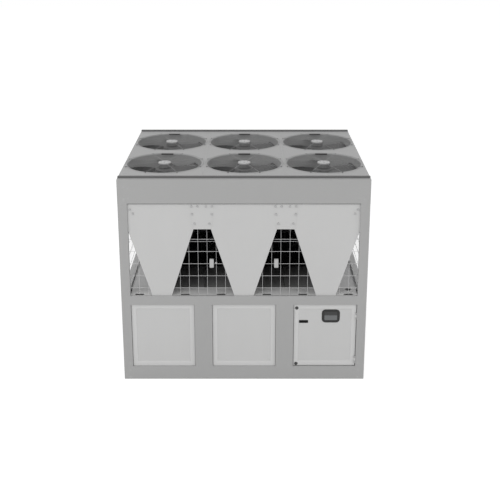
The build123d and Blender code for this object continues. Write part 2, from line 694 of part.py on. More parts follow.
def fascia():
    """Deep fascia round the plenum, under and in front of the deck."""
    front = -HALF_DEPTH
    corners = [(front + FASCIA_TOP_FLANGE, CASING_TOP), (front, CASING_TOP),
               (front, FASCIA_BOTTOM), (front + RAIL_FLANGE, FASCIA_BOTTOM)]
    face = run_x(folded_outline(corners, FASCIA_SHEET), -HALF_WIDTH, HALF_WIDTH)
    save("fascia_front", face)
    save("fascia_back", to_back(face))
    side = HALF_WIDTH
    corners = [(side - SIDE_FOOT_FLANGE, FASCIA_BOTTOM), (side, FASCIA_BOTTOM),
               (side, DECK_UNDERSIDE), (side - SIDE_HEAD_FLANGE, DECK_UNDERSIDE)]
    flange_reach = HALF_DEPTH - FASCIA_TOP_FLANGE
    plate = run_y(folded_outline(corners, FASCIA_SHEET), -flange_reach, flange_reach)
    web_reach = HALF_DEPTH - FASCIA_SHEET
    plate += block((side - FASCIA_SHEET, -web_reach, FASCIA_BOTTOM + FASCIA_SHEET),
                   (side, web_reach, DECK_UNDERSIDE - SKIN_GAP))
    save("fascia_sides", plate, to_left(plate))
    partitions = []
    for seam in SEAMS:
        foot = block((seam - PARTITION_FOOT_HALF, -COIL_HALF_LENGTH, FASCIA_BOTTOM),
                     (seam + PARTITION_FOOT_HALF, COIL_HALF_LENGTH, FASCIA_BOTTOM + FRAME_SHEET))
        web = block((seam - FRAME_SHEET / 2, -DECK_HALF_DEPTH, FASCIA_BOTTOM + FRAME_SHEET),
                    (seam + FRAME_SHEET / 2, DECK_HALF_DEPTH, DECK_UNDERSIDE))
        head = block((seam - PARTITION_HEAD_HALF, -DECK_HALF_DEPTH, DECK_UNDERSIDE - FRAME_SHEET),
                     (seam + PARTITION_HEAD_HALF, DECK_HALF_DEPTH, DECK_UNDERSIDE))
        partitions.append(foot + web + head)
    save("plenum_partitions", *partitions)


def fan_places():
    """Centres of the fans, row by row."""
    return [(x, side * FAN_ROW_SPACING / 2) for side in (-1, 1) for x in MODULE_CENTRES]


def deck():
    """Deck panels with a flared throat under each fan, and the seal strips along the deck's ends."""
    inner = THROAT_RADIUS
    outer = THROAT_RADIUS + THROAT_SHEET
    foot = CASING_TOP - THROAT_HEIGHT
    flare_centre = (inner + THROAT_FLARE, foot)
    inner_edge = Line((inner, CASING_TOP), (inner, foot))
    inner_flare = JernArc(inner_edge @ 1, (0, -1), THROAT_FLARE, 90)
    lip = Line(inner_flare @ 1, (flare_centre[0], foot - THROAT_FLARE + THROAT_SHEET))
    outer_flare = CenterArc(flare_centre, THROAT_FLARE - THROAT_SHEET, 180, 90)
    outer_edge = Line((outer, foot), (outer, CASING_TOP))
    head = Line((outer, CASING_TOP), (inner, CASING_TOP))
    section = make_face([inner_edge, inner_flare, lip, outer_flare, outer_edge, head])
    throat = revolve(Plane.XZ * section, Axis.Z)
    names = ("deck_panel_left", "deck_panel_middle", "deck_panel_right")
    for name, centre in zip(names, MODULE_CENTRES):
        low = centre - MODULE_PITCH / 2
        high = centre + MODULE_PITCH / 2
        low += DECK_SEAM / 2 if low > -HALF_WIDTH else 0
        high -= DECK_SEAM / 2 if high < HALF_WIDTH else 0
        reach = DECK_HALF_DEPTH - SKIN_GAP
        panel = block((low, -reach, DECK_UNDERSIDE), (high, reach, CASING_TOP))
        for x, y in fan_places():
            if x == centre:
                panel -= Pos(x, y, CASING_TOP) * Cylinder(THROAT_RADIUS + THROAT_SHEET / 2, THROAT_HEIGHT)
                panel += Pos(x, y, 0) * throat
        save(name, panel)
    front = -DECK_HALF_DEPTH - SEAL_WIDTH / 4
    strip = block((-HALF_WIDTH + DECK_SEAM, front, CASING_TOP),
                  (HALF_WIDTH - DECK_SEAM, front + SEAL_WIDTH, TOTAL_HEIGHT))
    save("deck_seal_strips", strip, to_back(strip))


def fan_guard(x, y):
    """Arms with the cap plate that the motor hangs from, and the rings that lie on the arms."""
    spider = Cylinder(GUARD_CAP_RADIUS, GUARD_CAP_HEIGHT, align=(Align.CENTER, Align.CENTER, Align.MIN))
    reach = GUARD_RING_RADII[0] + GUARD_BAR_WIDTH / 2
    arm = extrude(Rectangle(2 * reach, GUARD_BAR_WIDTH), amount=GUARD_BAR_HEIGHT)
    for index in range(GUARD_ARMS // 2):
        spider += Rot(0, 0, GUARD_ARM_START + index * 360 / GUARD_ARMS) * arm
    pieces = [spider]
    for radius in GUARD_RING_RADII:
        ring = Circle(radius + GUARD_BAR_WIDTH / 2) - Circle(radius - GUARD_BAR_WIDTH / 2)
        lying = Pos(0, 0, GUARD_BAR_HEIGHT + GUARD_LAYER_GAP)
        pieces.append(lying * extrude(ring, amount=GUARD_BAR_HEIGHT))
    return [Pos(x, y, CASING_TOP) * piece for piece in pieces]


def fan_motor(x, y):
    """Motor under the guard's cap, with the shaft that carries the rotor."""
    down = (Align.CENTER, Align.CENTER, Align.MAX)
    body = Cylinder(MOTOR_RADIUS, MOTOR_HEIGHT, align=down)
    body = fillet(body.edges().sort_by(Axis.Z)[0], HUB_EDGE / 2)
    shaft_length = HUB_TOP_DROP + SHAFT_IN_HUB
    body += Cylinder(SHAFT_RADIUS, shaft_length, align=down)
    return Pos(x, y, CASING_TOP) * body


def fan_blade():
    """One sickle blade: cambered sections twisted and swept from the hub to past the tip."""
    tip = THROAT_RADIUS - TIP_CLEARANCE
    root = HUB_RADIUS - BLADE_ROOT_SINK
    sections = []
    for index in range(BLADE_SECTIONS):
        share = index / (BLADE_SECTIONS - 1)
        radius = root + share * (tip - root + BLADE_ROOT_SINK)
        chord = BLADE_ROOT_CHORD + share * (BLADE_TIP_CHORD - BLADE_ROOT_CHORD)
        pitch = math.radians(BLADE_ROOT_PITCH + share * (BLADE_TIP_PITCH - BLADE_ROOT_PITCH))
        sweep = math.radians(BLADE_SWEEP * share * share)
        outward = Vector(math.cos(sweep), math.sin(sweep), 0)
        along = Vector(-math.sin(sweep), math.cos(sweep), 0)
        chord_line = along * math.cos(pitch) + Vector(0, 0, math.sin(pitch))
        plane = Plane(origin=outward * radius, x_dir=chord_line, z_dir=outward)
        half = chord / 2
        camber = BLADE_CAMBER * chord
        upper = ThreePointArc((-half, 0), (0, camber + BLADE_THICKNESS / 2), (half, 0))
        lower = ThreePointArc((half, 0), (0, camber - BLADE_THICKNESS / 2), (-half, 0))
        sections.append(plane * make_face([upper, lower]))
    blade = loft(sections)
    return blade & Cylinder(tip, 2 * THROAT_HEIGHT)


def fan_rotor():
    """Hub cup and its ring of blades, about the origin, hub top at zero."""
    down = (Align.CENTER, Align.CENTER, Align.MAX)
    hub = Cylinder(HUB_RADIUS, HUB_HEIGHT, align=down)
    hub = fillet(hub.edges().filter_by(GeomType.CIRCLE), HUB_EDGE)
    blade = Pos(0, 0, -HUB_HEIGHT / 2) * fan_blade()
    rotor = hub
    for index in range(BLADE_COUNT):
        rotor += Rot(0, 0, index * 360 / BLADE_COUNT) * blade
    bore = Cylinder(SHAFT_RADIUS + SHAFT_CLEARANCE, SHAFT_IN_HUB + SKIN_GAP, align=down)
    return rotor - bore


def fans():
    """Guards, motors and rotors of all the fans."""
    save("fan_guards", *[piece for x, y in fan_places() for piece in fan_guard(x, y)])
    save("fan_motors", *[fan_motor(x, y) for x, y in fan_places()])
    rotor = fan_rotor()
    columns = ("left", "middle", "right")
    rows = ("front", "back")
    names = [f"fan_rotor_{row}_{column}" for row in rows for column in columns]
    for name, (x, y) in zip(names, fan_places()):
        save(name, Pos(x, y, CASING_TOP - HUB_TOP_DROP) * rotor)


def water_stubs():
    """Grooved water inlet and outlet at the back, each on a collar and a socket inside the panel."""
    face = HALF_DEPTH - PANEL_RECESS
    end = HALF_DEPTH + STUB_REACH
    start = HALF_DEPTH - STUB_INSIDE
    outer = STUB_OUTER_RADIUS
    inner = outer - STUB_WALL
    groove = outer - STUB_GROOVE_DEPTH
    groove_end = end - STUB_GROOVE_FROM_END
    groove_start = groove_end - STUB_GROOVE_WIDTH
    collar = face - PANEL_SHEET - PANEL_PRESSING
    collar_back = collar - STUB_COLLAR_SHEET
    outline = Polyline((inner, start), (STUB_SOCKET_RADIUS, start), (STUB_SOCKET_RADIUS, collar_back),
                       (STUB_COLLAR_RADIUS, collar_back), (STUB_COLLAR_RADIUS, collar), (outer, collar),
                       (outer, groove_start), (groove, groove_start), (groove, groove_end),
                       (outer, groove_end), (outer, end), (inner, end), close=True)
    stub = revolve(make_face(outline), Axis.Y)
    save("water_stubs", *[Pos(STUB_X, 0, height) * stub for height in STUB_HEIGHTS])


def main():
    """Build and write every piece."""
    os.makedirs("parts", exist_ok=True)
    base_frame()
    corner_posts()
    mullions()
    mid_rails()
    drip_trays()
    fixed_panels()
    control_door()
    door_hinges()
    door_locks()
    control_box()
    coils()
    v_end_plates()
    wire_guards()
    sensor_boxes()
    fascia()
    deck()
    fans()
    water_stubs()


main()
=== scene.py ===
"""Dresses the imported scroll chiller: a finish for every sheet, wire and moulding, and the small parts
that its solids leave out.

Metres, +Z up, X across the front, -Y towards the control door, origin on the floor at the casing's centre.
"""
import json
import logging
import math
from collections.abc import Callable
from dataclasses import dataclass, field
from enum import Enum

import bmesh
import bpy
import numpy as np
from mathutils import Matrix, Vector


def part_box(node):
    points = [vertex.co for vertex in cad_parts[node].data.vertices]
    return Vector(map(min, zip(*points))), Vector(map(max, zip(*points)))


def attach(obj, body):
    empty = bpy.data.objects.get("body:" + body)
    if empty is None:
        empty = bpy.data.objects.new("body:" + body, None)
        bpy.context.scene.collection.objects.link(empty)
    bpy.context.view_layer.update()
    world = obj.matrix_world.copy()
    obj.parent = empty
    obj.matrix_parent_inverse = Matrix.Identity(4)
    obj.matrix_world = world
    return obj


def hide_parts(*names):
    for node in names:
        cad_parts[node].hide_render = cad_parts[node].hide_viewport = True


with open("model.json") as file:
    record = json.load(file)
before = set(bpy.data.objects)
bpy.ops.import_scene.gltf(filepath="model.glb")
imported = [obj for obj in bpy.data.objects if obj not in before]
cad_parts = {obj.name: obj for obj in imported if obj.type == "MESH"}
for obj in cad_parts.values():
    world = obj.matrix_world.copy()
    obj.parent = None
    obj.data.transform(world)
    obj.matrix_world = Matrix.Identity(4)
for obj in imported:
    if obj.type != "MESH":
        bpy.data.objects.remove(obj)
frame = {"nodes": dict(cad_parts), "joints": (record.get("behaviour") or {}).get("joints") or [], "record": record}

LOG = logging.getLogger("chiller")
MERGE_DISTANCE = 1e-6
SHARP_ANGLE = math.radians(35)
LEDGE_LEVEL = 0.858
# An edge that runs less than this is level with the line across it, so the two don't cross.
LEVEL_RUN = 1e-9
UP = (0.0, 0.0, 1.0)

Pair = tuple[float, float]
Triple = tuple[float, float, float]


class Side(Enum):
    """A side of the casing, as the turn about Z that takes the front there."""

    FRONT = 0.0
    RIGHT = math.pi / 2
    BACK = math.pi
    LEFT = -math.pi / 2

    def basis(self) -> np.ndarray:
        """Three columns: across the side, up, and out of it."""
        c, s = math.cos(self.value), math.sin(self.value)
        return np.array([[c, 0.0, s], [s, 0.0, -c], [0.0, 1.0, 0.0]])


class Body(Enum):
    """The moving bodies that take dressing pieces."""

    CASING = "casing"
    DOOR = "control_door"


class Socket:
    """One output of a shader node. Arithmetic on it adds Math nodes."""

    def __init__(self, sheet: "NodeSheet", link: bpy.types.NodeSocket) -> None:
        """Wrap a socket.

        Args:
            sheet: the node sheet that holds it.
            link: the socket itself.
        """
        self.sheet = sheet
        self.link = link

    def _math(self, operation: str, first: "Socket | float", second: "Socket | float") -> "Socket":
        """One Math node on two values."""
        return self.sheet.node("ShaderNodeMath", {"operation": operation}, {0: first, 1: second})("Value")

    def __add__(self, other: "Socket | float") -> "Socket":
        """This plus another."""
        return self._math("ADD", self, other)

    def __sub__(self, other: "Socket | float") -> "Socket":
        """This minus another."""
        return self._math("SUBTRACT", self, other)

    def __rsub__(self, other: "Socket | float") -> "Socket":
        """Another minus this."""
        return self._math("SUBTRACT", other, self)

    def __mul__(self, other: "Socket | float") -> "Socket":
        """This times another."""
        return self._math("MULTIPLY", self, other)

    def above(self, level: float) -> "Socket":
        """One where this is over a level, and zero elsewhere."""
        return self._math("GREATER_THAN", self, level)

    def under(self, level: float) -> "Socket":
        """One where this isn't over a level, and zero elsewhere."""
        return 1.0 - self.above(level)

    def swing(self, amount: float) -> "Socket":
        """Noise from zero to one, as a swing about zero of that width."""
        return (self - 0.5) * amount

    __radd__ = __add__
    __rmul__ = __mul__


class NodeSheet:
    """The node tree of one material or world."""

    def __init__(self, tree: bpy.types.NodeTree) -> None:
        """Start from an empty tree."""
        self.tree = tree
        tree.nodes.clear()

    def node(self, kind: str, settings: dict | None = None,
             inputs: dict | None = None) -> Callable[[str], Socket]:
        """Add a node.

        Args:
            kind: the node's type.
            settings: its settings, set before its sockets.
            inputs: values or sockets, by the input's name or number.

        Returns:
            A function that gives the node's output of a name as a Socket.
        """
        made = self.tree.nodes.new(kind)
        for name, value in (settings or {}).items():
            setattr(made, name, value)
        for name, value in (inputs or {}).items():
            if isinstance(value, Socket):
                self.tree.links.new(value.link, made.inputs[name])
            else:
                made.inputs[name].default_value = value
        return lambda output: Socket(self, made.outputs[output])

    def position(self) -> Socket:
        """The point on the object, in metres."""
        return self.node("ShaderNodeTexCoord")("Object")

    def axis(self, name: str) -> Socket:
        """The point's X, Y or Z, in metres."""
        return self.node("ShaderNodeSeparateXYZ", None, {"Vector": self.position()})(name)

    def from_middle(self, name: str) -> Socket:
        """How far the point lies from the middle along X, Y or Z."""
        return self.node("ShaderNodeMath", {"operation": "ABSOLUTE"}, {0: self.axis(name)})("Value")

    def noise(self, scale: float, detail: float = 2.0, stretch: Triple = (1.0, 1.0, 1.0)) -> Socket:
        """Cloudy noise from zero to one.

        Args:
            scale: lumps in a metre.
            detail: layers of finer noise.
            stretch: scale along each axis.

        Returns:
            The noise's value.
        """
        place = {"Vector": self.position(), "Scale": stretch}
        point = self.node("ShaderNodeMapping", None, place)("Vector")
        lumps = {"Vector": point, "Scale": scale, "Detail": detail}
        return self.node("ShaderNodeTexNoise", None, lumps)("Fac")

    def tinted(self, colour: Triple, level: Socket) -> Socket:
        """A colour made lighter or darker by a level about one."""
        scaled = {0: colour, "Scale": level}
        return self.node("ShaderNodeVectorMath", {"operation": "SCALE"}, scaled)("Vector")

    def bump(self, height: Socket, depth: float, strength: float) -> Socket:
        """A normal from a height.

        Args:
            height: the height, from zero to one.
            depth: what a height of one stands for, in metres.
            strength: how much of it shows.

        Returns:
            The normal.
        """
        relief = {"Strength": strength, "Distance": depth, "Height": height}
        return self.node("ShaderNodeBump", None, relief)("Normal")

    def surface(self, constants: dict[str, float], varying: dict[str, Socket]) -> None:
        """End the sheet in a Principled shader.

        Args:
            constants: sockets that are the same all over.
            varying: sockets that change over the surface.
        """
        shader = self.node("ShaderNodeBsdfPrincipled", None, {**constants, **varying})("BSDF")
        self.node("ShaderNodeOutputMaterial", None, {"Surface": shader})


@dataclass(frozen=True)
class Finish:
    """What every finish has: a name and a colour."""

    name: str
    colour: Triple

    def sheet(self) -> tuple[bpy.types.Material, NodeSheet]:
        """A new material of this finish's name.

        Returns:
            The material, and the sheet of its nodes.
        """
        material = bpy.data.materials.new(self.name)
        material.use_nodes = True
        return material, NodeSheet(material.node_tree)

    def material(self) -> bpy.types.Material:
        """Build the finish's material."""
        raise NotImplementedError


@dataclass(frozen=True)
class PowderCoat(Finish):
    """Satin powder coat: orange peel, fine grain and a faint cloudiness in the colour."""

    roughness: float = 0.42
    specular: float = 0.42
    peel_scale: float = 190.0
    peel_depth: float = 0.00035
    peel_strength: float = 0.5
    peel_gloss: float = 0.1
    grain_scale: float = 1500.0
    grain_share: float = 0.25
    cloud_scale: float = 1.6
    cloud: float = 0.05
    cloud_gloss: float = 0.12
    streak_scale: float = 9.0
    streak_stretch: Triple = (1.0, 1.0, 0.12)

    def zones(self, sheet: NodeSheet) -> Socket | float:
        """How much lighter the coat is in places: the same all over, unless a kind says otherwise."""
        return 1.0

    def material(self) -> bpy.types.Material:
        """Build the coat's material.

        Returns:
            The material.
        """
        material, sheet = self.sheet()
        cloud = sheet.noise(self.cloud_scale, detail=4.0)
        streak = sheet.noise(self.streak_scale, detail=3.0, stretch=self.streak_stretch)
        level = (1.0 + cloud.swing(self.cloud) + streak.swing(self.cloud / 2)) * self.zones(sheet)
        peel = sheet.noise(self.peel_scale)
        grain = sheet.noise(self.grain_scale, detail=1.0)
        rough = peel.swing(self.peel_gloss) + cloud.swing(self.cloud_gloss) + self.roughness
        normal = sheet.bump(peel + grain * self.grain_share, self.peel_depth, self.peel_strength)
        sheet.surface({"Specular IOR Level": self.specular},
                      {"Base Color": sheet.tinted(self.colour, level), "Roughness": rough, "Normal": normal})
        return material


@dataclass(frozen=True)
class FrameCoat(PowderCoat):
    """The frame's coat, with painted light on top of the ledge behind the V plates' feet: that strip is made
    lighter to stand in for the light that falls on it.
    """

    ledge_reach: float = 1.008
    # Painted light: how much lighter the ledge's top is made, standing in for the light that falls on it.
    ledge_painted_light_gain: float = 0.7
    ledge_under: float = 0.0006
    ledge_over: float = 0.0002

    def zones(self, sheet: NodeSheet) -> Socket:
        """One, and more on the ledge as painted light: where Z is at the ledge's level and Y is inside the V
        plates.

        Args:
            sheet: the coat's sheet.

        Returns:
            The factor on the coat's colour.
        """
        height = sheet.axis("Z")
        on_top = height.above(LEDGE_LEVEL - self.ledge_under) * height.under(LEDGE_LEVEL + self.ledge_over)
        inside = sheet.from_middle("Y").under(self.ledge_reach)
        return 1.0 + on_top * inside * self.ledge_painted_light_gain


@dataclass(frozen=True)
class PanelCoat(PowderCoat):
    """The panels' coat, with a painted highlight: a little lighter on the raised borders, where the pressed edges
    catch the light.
    """

    panel_top: float = 0.8
    border_from: float = 1.0145
    # Painted highlight: how much lighter the lower panels' borders are made.
    border_painted_highlight_gain: float = 0.1

    def zones(self, sheet: NodeSheet) -> Socket:
        """One, and more on the borders of the lower panels as a painted highlight: where Y is past the pressed
        fields.

        Args:
            sheet: the coat's sheet.

        Returns:
            The factor on the coat's colour.
        """
        low = sheet.axis("Z").under(self.panel_top)
        border = sheet.from_middle("Y").above(self.border_from)
        return 1.0 + low * border * self.border_painted_highlight_gain


@dataclass(frozen=True)
class TrayCoat(PowderCoat):
    """The coil floor's coat, painted light and shade: near-black as painted shade far inside the aisles, painted
    lighter towards their front and back where the shade thins, and lightest outside the end Vs where light falls
    in from the sides.
    """

    end_start: float = 0.85
    shade_core_depth: float = 0.22
    # Painted light outside the end Vs, and a painted fade of the shade towards the aisles' front and back.
    painted_end_light_gain: float = 13.0
    painted_fade_gain: float = 4.0

    def zones(self, sheet: NodeSheet) -> Socket:
        """One far inside, more towards the front and back, and most outside the end Vs: painted shade and painted
        light, following how far the light reaches in.

        Args:
            sheet: the coat's sheet.

        Returns:
            The factor on the coat's colour.
        """
        # Painted light outside the end Vs, where light falls in through the side guards; a painted fade towards
        # the aisles' front and back; near-black painted shade elsewhere.
        end = sheet.from_middle("X").above(self.end_start)
        painted_fade_mask = sheet.from_middle("Y").above(self.shade_core_depth)
        return 1.0 + painted_fade_mask * (1.0 - end) * self.painted_fade_gain + end * self.painted_end_light_gain


@dataclass(frozen=True)
class ZincCoat(Finish):
    """Galvanised or zinc-plated steel: crystals that differ in brightness and gloss."""

    crystal_scale: float = 70.0
    crystal_gain: float = 0.14
    crystal_gloss: float = 0.16
    metal: float = 0.75
    metal_swing: float = 0.1
    roughness: float = 0.42
    specular: float = 0.5
    dullest: float = 0.92
    cloud_scale: float = 5.0
    cloud: float = 0.12
    dent_scale: float = 600.0
    dent_depth: float = 0.0002
    dent_strength: float = 0.3

    def material(self) -> bpy.types.Material:
        """Build the zinc's material.

        Returns:
            The material.
        """
        material, sheet = self.sheet()
        grid = {"Vector": sheet.position(), "Scale": self.crystal_scale}
        cells = sheet.node("ShaderNodeTexVoronoi", None, grid)("Color")
        crystal = sheet.node("ShaderNodeSeparateColor", None, {"Color": cells})("Red")
        cloud = sheet.noise(self.cloud_scale, detail=4.0)
        level = self.dullest + crystal * self.crystal_gain + cloud.swing(self.cloud)
        dents = crystal + sheet.noise(self.dent_scale)
        sheet.surface({"Specular IOR Level": self.specular},
                      {"Base Color": sheet.tinted(self.colour, level),
                       "Roughness": self.roughness + crystal.swing(self.crystal_gloss),
                       "Metallic": self.metal + cloud.swing(self.metal_swing),
                       "Normal": sheet.bump(dents, self.dent_depth, self.dent_strength)})
        return material


@dataclass(frozen=True)
class FinPack(Finish):
    """Near-black fins, dark as painted shade for the aisles between the coils: rows of tube collars and a matt,
    slightly dusty coat.
    """

    row_pitch: float = 0.0254
    collar_from: float = 0.72
    collar_gain: float = 0.5
    clean_level: float = 0.75
    dust_scale: float = 6.0
    dust_gain: float = 0.6
    dust_gloss: float = 0.3
    roughness: float = 0.55
    specular: float = 0.3
    grain_scale: float = 420.0
    grain_depth: float = 0.0004
    grain_strength: float = 0.5

    def material(self) -> bpy.types.Material:
        """Build the fin pack's material.

        Returns:
            The material.
        """
        material, sheet = self.sheet()
        fold = {0: sheet.axis("Z"), 1: self.row_pitch / 2}
        rows = sheet.node("ShaderNodeMath", {"operation": "PINGPONG"}, fold)("Value")
        collar = (rows * (2 / self.row_pitch)).above(self.collar_from)
        dust = sheet.noise(self.dust_scale, detail=5.0)
        level = self.clean_level + dust * self.dust_gain + collar * self.collar_gain
        relief = sheet.noise(self.grain_scale) + collar
        sheet.surface({"Specular IOR Level": self.specular},
                      {"Base Color": sheet.tinted(self.colour, level),
                       "Roughness": self.roughness + dust.swing(self.dust_gloss),
                       "Normal": sheet.bump(relief, self.grain_depth, self.grain_strength)})
        return material


@dataclass(frozen=True)
class Moulding(Finish):
    """Moulded plastic or rubber: fine spark-eroded grain and faint flow marks."""

    roughness: float = 0.5
    specular: float = 0.4
    grain_scale: float = 900.0
    grain_depth: float = 0.00025
    grain_strength: float = 0.4
    grain: float = 0.08
    flow_scale: float = 14.0
    flow_stretch: Triple = (1.0, 1.0, 2.5)
    flow: float = 0.12
    flow_gloss: float = 0.14

    def material(self) -> bpy.types.Material:
        """Build the moulding's material.

        Returns:
            The material.
        """
        material, sheet = self.sheet()
        flow = sheet.noise(self.flow_scale, detail=3.0, stretch=self.flow_stretch)
        grain = sheet.noise(self.grain_scale)
        level = 1.0 + flow.swing(self.flow) + grain.swing(self.grain)
        sheet.surface({"Specular IOR Level": self.specular},
                      {"Base Color": sheet.tinted(self.colour, level),
                       "Roughness": self.roughness + flow.swing(self.flow_gloss),
                       "Normal": sheet.bump(grain, self.grain_depth, self.grain_strength)})
        return material


@dataclass(frozen=True)
class SmokedPane(Finish):
    """Dark glossy window with a paler display low behind it, faint waviness and a few wiping marks."""

    display_top: float = 0.655
    display_foot: float = 0.598
    display_gain: float = 9.0
    foot_dimming: float = 0.6
    fade: float = 0.016
    coat: float = 0.2
    coat_roughness: float = 0.05
    specular: float = 0.5
    roughness: float = 0.08
    dullest: float = 0.9
    wave_scale: float = 18.0
    wave_gain: float = 0.2
    wave_depth: float = 0.0006
    wave_strength: float = 0.3
    wipe_scale: float = 60.0
    wipe_stretch: Triple = (0.2, 1.0, 1.0)
    wipe_gloss: float = 0.1

    def below(self, sheet: NodeSheet, level: float) -> Socket:
        """One under a height and zero over it, with a soft change.

        Args:
            sheet: the pane's sheet.
            level: the height where the change is half done.

        Returns:
            The mask.
        """
        half = self.fade / 2
        fade = {"Value": sheet.axis("Z"), "From Min": level + half, "From Max": level - half}
        return sheet.node("ShaderNodeMapRange", {"interpolation_type": "SMOOTHSTEP"}, fade)("Result")

    def material(self) -> bpy.types.Material:
        """Build the pane's material.

        Returns:
            The material.
        """
        material, sheet = self.sheet()
        wave = sheet.noise(self.wave_scale)
        wipe = sheet.noise(self.wipe_scale, detail=4.0, stretch=self.wipe_stretch)
        dimmed = 1.0 - self.below(sheet, self.display_foot) * self.foot_dimming
        display = self.below(sheet, self.display_top) * dimmed
        level = self.dullest + wave * self.wave_gain + display * self.display_gain
        constants = {"Specular IOR Level": self.specular, "Coat Weight": self.coat,
                     "Coat Roughness": self.coat_roughness}
        sheet.surface(constants, {"Base Color": sheet.tinted(self.colour, level),
                                  "Roughness": self.roughness + wipe * self.wipe_gloss,
                                  "Normal": sheet.bump(wave, self.wave_depth, self.wave_strength)})
        return material


def grey(level: float, tint: Triple = (1.0, 1.0, 1.0)) -> Triple:
    """A linear grey with a faint tint."""
    return tuple(level * each for each in tint)


class Finishes:
    """Every finish by the name of its slot in the record, each built once."""

    ALL: tuple[Finish, ...] = (
        FrameCoat("frame_paint", grey(0.385, (1.0, 1.0, 0.995))),
        PanelCoat("panel_paint", grey(0.56, (1.0, 1.0, 0.995))),
        PowderCoat("deck_paint", grey(0.38), roughness=0.5),
        # Near-black: painted shade for the coil floor and the coil surrounds, lightened in places as painted
        # light.
        TrayCoat("tray_coating", grey(0.055), roughness=0.6),
        # Near-black fins: painted shade for the aisles between the coils.
        FinPack("coil_black", grey(0.014)),
        ZincCoat("guard_wire", grey(0.62), crystal_scale=240.0, metal=0.35),
        PowderCoat("guard_coating", grey(0.24), roughness=0.45),
        Moulding("rotor_plastic", grey(0.09), roughness=0.55),
        PowderCoat("motor_paint", grey(0.14)),
        Moulding("seal_rubber", grey(0.13), roughness=0.75, grain_depth=0.0005),
        SmokedPane("window_dark", grey(0.013, (0.96, 1.0, 1.03))),
        Moulding("pull_black", grey(0.012), roughness=0.4),
        ZincCoat("lock_zinc", grey(0.07), crystal_scale=400.0),
        ZincCoat("hinge_zinc", grey(0.42), crystal_scale=300.0),
        ZincCoat("box_zinc", grey(0.5)),
        Moulding("sensor_plastic", grey(0.48)),
        PowderCoat("pipe_paint", grey(0.09), roughness=0.5),
    )

    def __init__(self) -> None:
        """Build every material."""
        self.made = {finish.name: finish.material() for finish in self.ALL}

    def __getitem__(self, slot: str) -> bpy.types.Material:
        """The material of a slot."""
        return self.made[slot]

    def dress(self, nodes: dict[str, bpy.types.Object], subparts: list[dict]) -> None:
        """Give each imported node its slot's finish.

        Args:
            nodes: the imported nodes, by name.
            subparts: the record's node and slot pairs.
        """
        for entry in subparts:
            materials = nodes[entry["node"]].data.materials
            materials.clear()
            materials.append(self[entry["material_slot"]])


@dataclass
class Surface:
    """Points and faces of a mesh, as arrays. Faces are kept by their number of corners."""

    points: np.ndarray
    faces: list[np.ndarray] = field(default_factory=list)

    @staticmethod
    def joined(parts: "list[Surface]") -> "Surface":
        """Several surfaces as one, with the later faces' numbers counted on.

        Args:
            parts: the surfaces.

        Returns:
            The one surface.
        """
        starts = np.cumsum([0] + [len(part.points) for part in parts[:-1]])
        faces = [face + start for part, start in zip(parts, starts) for face in part.faces]
        return Surface(np.concatenate([part.points for part in parts]), faces)

    def repeated(self, places: np.ndarray, basis: np.ndarray | None = None) -> "Surface":
        """Copies of this at several places.

        A copy's point is the place plus the basis times the point.

        Args:
            places: one origin a copy, (copies, 3).
            basis: one 3 by 3 turn for all, or one a copy.

        Returns:
            The copies as one surface.
        """
        turn = np.eye(3) if basis is None else np.asarray(basis)
        turns = np.broadcast_to(turn, (len(places), 3, 3))
        points = np.einsum("kij,nj->kni", turns, self.points) + np.asarray(places)[:, None]
        steps = np.arange(len(places))[:, None, None] * len(self.points)
        faces = [(face[None] + steps).reshape(-1, face.shape[1]) for face in self.faces]
        return Surface(points.reshape(-1, 3), faces)

    def mesh(self, name: str) -> bpy.types.Mesh:
        """The surface as a mesh: doubles merged, faces outwards, smooth except at sharp bends.

        Args:
            name: the mesh's name.

        Returns:
            The mesh.
        """
        mesh = bpy.data.meshes.new(name)
        mesh.from_pydata(self.points.tolist(), [], [f for face in self.faces for f in face.tolist()])
        work = bmesh.new()
        work.from_mesh(mesh)
        bmesh.ops.remove_doubles(work, verts=work.verts, dist=MERGE_DISTANCE)
        bmesh.ops.recalc_face_normals(work, faces=work.faces)
        work.to_mesh(mesh)
        work.free()
        mesh.shade_smooth()
        mesh.set_sharp_from_angle(angle=SHARP_ANGLE)
        return mesh


def grid_faces(rows: int, columns: int, round_rows: bool, round_columns: bool) -> np.ndarray:
    """Four-cornered faces of a grid of points kept row by row.

    Args:
        rows: rows of points.
        columns: points in a row.
        round_rows: whether the last row meets the first.
        round_columns: whether each row's end meets its start.

    Returns:
        Point numbers, (faces, 4).
    """
    row, column = np.meshgrid(np.arange(rows if round_rows else rows - 1),
                              np.arange(columns if round_columns else columns - 1), indexing="ij")
    next_row, next_column = (row + 1) % rows, (column + 1) % columns
    corners = [row * columns + column, row * columns + next_column,
               next_row * columns + next_column, next_row * columns + column]
    return np.stack(corners, -1).reshape(-1, 4)


def spread(count: int, pitch: float) -> np.ndarray:
    """Evenly spaced places about zero."""
    return (np.arange(count) - (count - 1) / 2) * pitch


def quarter_turn(steps: int = 5) -> np.ndarray:
    """Evenly spaced angles over a quarter turn."""
    return np.linspace(0, math.pi / 2, steps)


def circle(radius: float, count: int) -> np.ndarray:
    """Points round a circle: radius times the cosine and sine of evenly spaced angles."""
    angle = np.arange(count) * (2 * math.pi / count)
    return radius * np.stack([np.cos(angle), np.sin(angle)], -1)


def at_height(flat: np.ndarray, height: float) -> np.ndarray:
    """Flat points with a height as their third coordinate."""
    return np.concatenate([flat, np.full((len(flat), 1), height)], -1)


